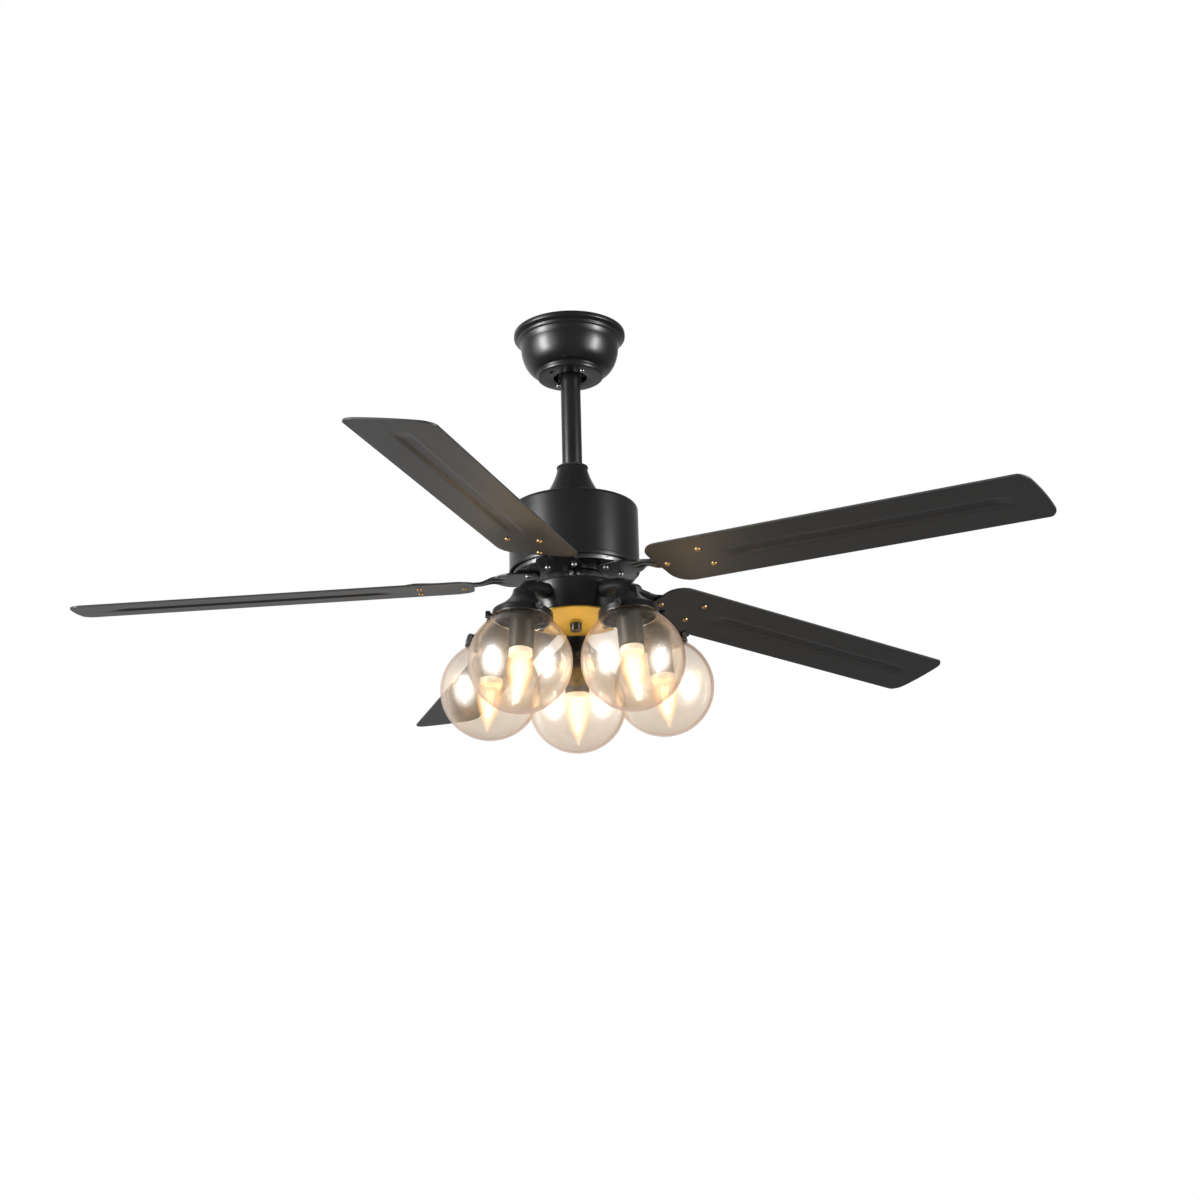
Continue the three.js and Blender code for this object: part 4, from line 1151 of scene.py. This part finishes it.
# %% Thumbscrews
KNURL_SIDES = 56
FLUTE_SHARE = 0.93  # of the head's radius


def thumbscrew_mesh():
    reach = CUP_RIM + 8 * MM
    head_start = CUP_RIM + 2 * MM
    outline = rounded([
        (0, NECK_RADIUS + 0.5 * MM, 0),
        (1.9 * MM, NECK_RADIUS + 0.5 * MM, 0.4 * MM),
        (1.9 * MM, head_start - 1 * MM, 0),
        (3.2 * MM, head_start - 1 * MM, 0.3 * MM),
        (3.2 * MM, head_start, 0.2 * MM),
        (4.9 * MM, head_start, 0.5 * MM),
        (4.9 * MM, reach, 0.7 * MM),
        (3 * MM, reach, 0.3 * MM),
        (2.6 * MM, reach - 0.5 * MM, 0.3 * MM),
        (0, reach - 0.5 * MM, 0),
    ])
    mesh = turned("thumbscrew", outline, sides=KNURL_SIDES, sharp=60)
    for vertex in mesh.vertices:
        radius = math.hypot(vertex.co.x, vertex.co.y)
        tooth = round(math.atan2(vertex.co.y, vertex.co.x) / (2 * math.pi / KNURL_SIDES))
        if tooth % 2 and radius > 4.5 * MM:
            vertex.co.x *= FLUTE_SHARE
            vertex.co.y *= FLUTE_SHARE
    return mesh


for k in range(LAMPS):
    for i, degrees in enumerate(THUMB_ANGLES):
        sideways = Matrix.Rotation(math.pi / 2, 4, "Y")
        place = lamp_place(k) @ Matrix.Translation((0, 0, THUMB_Z)) @ turned_about_axis(degrees) @ sideways
        first = i == 0
        show(
            f"thumbscrew_knurled_{k + 1}_{i + 1}", thumbscrew_mesh(), SATIN_BLACK,
            f"thumbscrew_{k + 1}" if first else "hanging_motor",
            f"thumbscrew_{k + 1}" if first else None, place,
        )
print("thumbscrews:", LAMPS * len(THUMB_ANGLES))

# %% [markdown]
# ## Globes
# A globe is blown thin with a short neck. It is a real shell, with an outer and an inner wall, because
# the two sets of reflections are what the eye reads as glass.


# %% Globes
def globe_mesh():
    inner = GLOBE_RADIUS - GLASS
    neck_hole = NECK_RADIUS - GLASS
    meets = math.acos(NECK_RADIUS / GLOBE_RADIUS)
    inner_meets = math.acos(neck_hole / inner)
    neck_top = GLOBE_RADIUS * math.sin(meets) + 8 * MM
    count = 40

    def wall(radius, last):
        angles = [-math.pi / 2 + (last + math.pi / 2) * i / count for i in range(count + 1)]
        points = [(radius * math.cos(a), radius * math.sin(a), 0) for a in angles]
        points[0] = (0, -radius, 0)
        return points

    outline = rounded([
        *wall(GLOBE_RADIUS, meets)[:-1],
        (NECK_RADIUS, GLOBE_RADIUS * math.sin(meets), 2.5 * MM),
        (NECK_RADIUS, neck_top, 0.8 * MM),
        (neck_hole, neck_top, 0.8 * MM),
        (neck_hole, inner * math.sin(inner_meets), 2.5 * MM),
        *reversed(wall(inner, inner_meets)[:-1]),
    ])
    return turned("globe", outline, sides=96, sharp=60)


for k in range(LAMPS):
    globe = show(
        f"glass_globe_{k + 1}", globe_mesh(), GLOBE_GLASS, "hanging_motor", f"globe_{k + 1}",
        lamp_place(k),
    )
    globe.visible_shadow = False
print("globes:", LAMPS)

# %% [markdown]
# ## Sockets and bulbs
# The socket is a moulded candle sleeve, open below for the bulb. It is turned from an outline that goes
# up inside the sleeve, and one small hole is drilled in its side.

# %% Sockets
SOCKET_TOP = SOCKET_MOUTH + 76 * MM


def socket_mesh():
    outline = rounded([
        (9 * MM, SOCKET_MOUTH + 1.5 * MM, 0.4 * MM),
        (COLLAR_RADIUS - 0.8 * MM, SOCKET_MOUTH, 0.4 * MM),
        (SOCKET_RADIUS, SOCKET_MOUTH, 0.9 * MM),
        (SOCKET_RADIUS, SOCKET_MOUTH + 40 * MM, 0.4 * MM),
        (SOCKET_RADIUS - 0.6 * MM, SOCKET_MOUTH + 41 * MM, 0.4 * MM),
        (SOCKET_RADIUS - 0.6 * MM, SOCKET_TOP - 16 * MM, 1.5 * MM),
        (0.5 * SOCKET_RADIUS, SOCKET_TOP, 1.5 * MM),
        (0, SOCKET_TOP, 0),
        (0, SOCKET_MOUTH + 28 * MM, 0),
        (9 * MM, SOCKET_MOUTH + 28 * MM, 0),
    ])
    hole = (*polar(SOCKET_RADIUS - 2 * MM, -20), SOCKET_MOUTH + 22 * MM)
    outside = (*polar(SOCKET_RADIUS + 2 * MM, -20), SOCKET_MOUTH + 22 * MM)
    return carved(turned("socket", outline, sides=64), [rod(1.1 * MM, hole, outside, 16)])


for k in range(LAMPS):
    show(f"candle_sleeve_{k + 1}", socket_mesh(), SOCKET_BLACK, "hanging_motor",
         f"lamp_socket_{k + 1}", lamp_place(k))
print("sockets:", LAMPS)

# %% [markdown]
# The bulb is a flame-shaped envelope on a cream collar, with four filament sticks inside. The envelope's
# outline goes through a few points with wide fillets, and the sticks are plain bars that glow.

# %% Bulbs
ENVELOPE_TOP = 9.5 * MM
ENVELOPE = [  # radius and height above the tip, as shares of the bulb's radius and length
    (0.07, 0.02), (0.2, 0.1), (0.45, 0.24), (0.73, 0.43), (0.91, 0.6), (0.96, 0.72), (0.92, 0.85), (0.83, 1),
]


def envelope_mesh():
    """The flame's outline, through points of radius and height as shares of the bulb's."""
    length = ENVELOPE_TOP - BULB_TIP
    outside = [(0, BULB_TIP, 0)]
    outside += [(BULB_RADIUS * r, BULB_TIP + length * h, 4 * MM) for r, h in ENVELOPE]
    neck = BULB_RADIUS * ENVELOPE[-1][0]
    outline = rounded([*outside[:-1], (neck, ENVELOPE_TOP, 0.5 * MM), (0, ENVELOPE_TOP, 0)], steps=6)
    return turned("envelope", outline, sides=48, sharp=60)


def collar_mesh():
    outline = rounded([
        (0, ENVELOPE_TOP + 0.3 * MM, 0),
        (11.5 * MM, ENVELOPE_TOP + 0.3 * MM, 0),
        (12.5 * MM, ENVELOPE_TOP - 1.5 * MM, 0.4 * MM),
        (COLLAR_RADIUS, ENVELOPE_TOP - 1.0 * MM, 1.0 * MM),
        (COLLAR_RADIUS, SOCKET_MOUTH - CLEARANCE, 0.8 * MM),
        (8.7 * MM, SOCKET_MOUTH - CLEARANCE, 0),
        (8.7 * MM, SOCKET_MOUTH + 26 * MM, 1 * MM),
        (0, SOCKET_MOUTH + 26 * MM, 0),
    ])
    return turned("collar", outline, sides=64)


def filament_mesh():
    bm = bmesh.new()
    for i in range(4):
        low = Vector((*polar(2.6 * MM, 45 + 90 * i), -36 * MM))
        high = Vector((*polar(4.6 * MM, 45 + 90 * i), 0))
        stick = rod(0.9 * MM, low, high, 12)
        bm.from_mesh(stick)
    return smooth_mesh("filament", bm)


for k in range(LAMPS):
    place = lamp_place(k)
    bulb = f"bulb_{k + 1}"
    show(f"bulb_collar_{k + 1}", collar_mesh(), COLLAR_CREAM, "hanging_motor", bulb, place)
    inside = (
        ("envelope", envelope_mesh(), BULB_GLASS),
        ("filament", filament_mesh(), FILAMENT),
    )
    for part, mesh, look in inside:
        lit = show(f"bulb_{part}_{k + 1}", mesh, look, "hanging_motor", place=place)
        lit.visible_shadow = False
print("bulbs:", LAMPS)

# %% [markdown]
# ## Hidden steel
# The bracket, ball, yoke, shaft, stator and bearings keep the frame's own solids, because only their
# edges show. They still get real finishes.

# %% Finishes for the frame's own solids
OWN_FINISH = {
    ZINC: ["hanger_bracket", "ball_pin", "yoke", "yoke_pin", "motor_shaft", "upper_bearing", "lower_bearing",
           "rotor_lid"],
    SOCKET_BLACK: ["hanger_ball", "receiver"],
    WINDINGS: ["stator"],
}
for own, names in OWN_FINISH.items():
    for name in names:
        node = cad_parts[name]
        node.data.materials.clear()
        node.data.materials.append(own)
print("own solids:", sum(len(names) for names in OWN_FINISH.values()))

# %% [markdown]
# ## Light and room
# The room is bright behind the fan, most of all at the left, and dim elsewhere. Two soft boxes in front
# give the black pieces their soft vertical highlights, and two patches in the same directions show in
# the glass. What the eye sees behind the fan is plain white.

# %% Room light
LEFT_SOFTBOX = (-2.3, -1.15, -0.25)
RIGHT_SOFTBOX = (2.2, -1.15, -0.4)
world = bpy.data.worlds.new("bright_room")
bpy.context.scene.world = world
world.use_nodes = True
world.node_tree.nodes.clear()
room = Wire(world.node_tree)
direction = room.node("ShaderNodeTexCoord", output="Generated")
right = room.node("ShaderNodeSeparateXYZ", {0: direction})
back = room.node("ShaderNodeSeparateXYZ", {0: direction}, output=1)
up = room.node("ShaderNodeSeparateXYZ", {0: direction}, output=2)
horizon = up.between(-0.7, -0.15) * (1 - up.between(0.5, 1.0) * 0.7)
far_wall = back.between(-0.05, 0.9) * horizon * (1 - right.between(0.05, 0.6) * 0.8)


def glow_towards(place, near, far):
    """1 in the middle of a soft-edged patch of light, in the direction of a place."""
    aim = Vector(place).normalized()
    closeness = room.node("ShaderNodeVectorMath", {0: direction, 1: aim}, output=1, operation="DOT_PRODUCT")
    return closeness.between(near, far)


patches = glow_towards(LEFT_SOFTBOX, 0.8, 0.98) * 3.0 + glow_towards(RIGHT_SOFTBOX, 0.86, 0.985) * 2.4
level = 0.1 + far_wall * 0.63 + patches
seen = room.node("ShaderNodeLightPath", output="Is Camera Ray")
strength = seen + (1 - seen) * level
sky = room.node("ShaderNodeBackground", {"Color": rgb(1, 1, 1), "Strength": strength})
output = world.node_tree.nodes.new("ShaderNodeOutputWorld")
world.node_tree.links.new(sky.socket, output.inputs["Surface"])
bpy.context.scene.view_settings.view_transform = "Standard"
bpy.context.scene.cycles.transparent_max_bounces = 32


def softbox(name, place, target, size, power):
    data = bpy.data.lights.new(name, "AREA")
    data.shape = "RECTANGLE"
    data.size, data.size_y = size
    data.energy = power
    made = bpy.data.objects.new(name, data)
    bpy.context.collection.objects.link(made)
    aim = (Vector(target) - Vector(place)).to_track_quat("-Z", "Y")
    made.matrix_world = Matrix.Translation(place) @ aim.to_matrix().to_4x4()
    made.visible_camera = False


FAN_MIDDLE = (0, 0, -0.3)
softbox("left_softbox", LEFT_SOFTBOX, FAN_MIDDLE, (0.8, 1.6), 80)
softbox("right_softbox", RIGHT_SOFTBOX, FAN_MIDDLE, (0.6, 1.4), 50)

# %% [markdown]
# The glow of a material lights its neighbours only weakly and with much noise. So each bulb also holds a
# small warm point light, which rides with the lamp and lights the cup, the blades and the cap.

# %% Bulb light
BULB_WATTS = 0.085
BULB_LIGHT_Z = -18 * MM
for k in range(LAMPS):
    data = bpy.data.lights.new("bulb_light", "POINT")
    data.energy = BULB_WATTS
    data.color = (1.0, 0.66, 0.32)
    data.shadow_soft_size = 12 * MM
    lamp = bpy.data.objects.new(f"bulb_light_{k + 1}", data)
    bpy.context.collection.objects.link(lamp)
    lamp.matrix_world = lamp_place(k) @ Matrix.Translation((0, 0, BULB_LIGHT_Z))
    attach(lamp, "hanging_motor")

# %% [markdown]
# The floor could be a plane, but its corners would show from above, so it is a wide disc far below. It
# is pale by itself, and its light is kept off the fan, whose undersides it would wash out.


# %% Floor
def pale_floor(wire):
    cloud = wire.noise(3.0, 3.0)
    return wire.principled({
        "Base Color": cloud.blend(rgb(0.76, 0.75, 0.73), rgb(0.82, 0.81, 0.79)),
        "Roughness": 0.7 + cloud * 0.1,
        "Emission Color": cloud.blend(rgb(0.95, 0.94, 0.92), rgb(1.0, 0.99, 0.97)),
        "Emission Strength": 0.45,
    })


FLOOR_Z = -3.6
FLOOR_REACH = 40
bm = bmesh.new()
bmesh.ops.create_circle(bm, cap_ends=True, segments=96, radius=FLOOR_REACH)
bmesh.ops.translate(bm, vec=(0, 0, FLOOR_Z), verts=bm.verts)
floor_mesh = smooth_mesh("pale_floor", bm)
floor_mesh.materials.append(finish("pale_floor", pale_floor))
floor = bpy.data.objects.new("pale_floor", floor_mesh)
bpy.context.collection.objects.link(floor)
floor.visible_diffuse = False
floor.visible_glossy = False

# %% [markdown]
# ## End

# %% End
print("scene dressed")
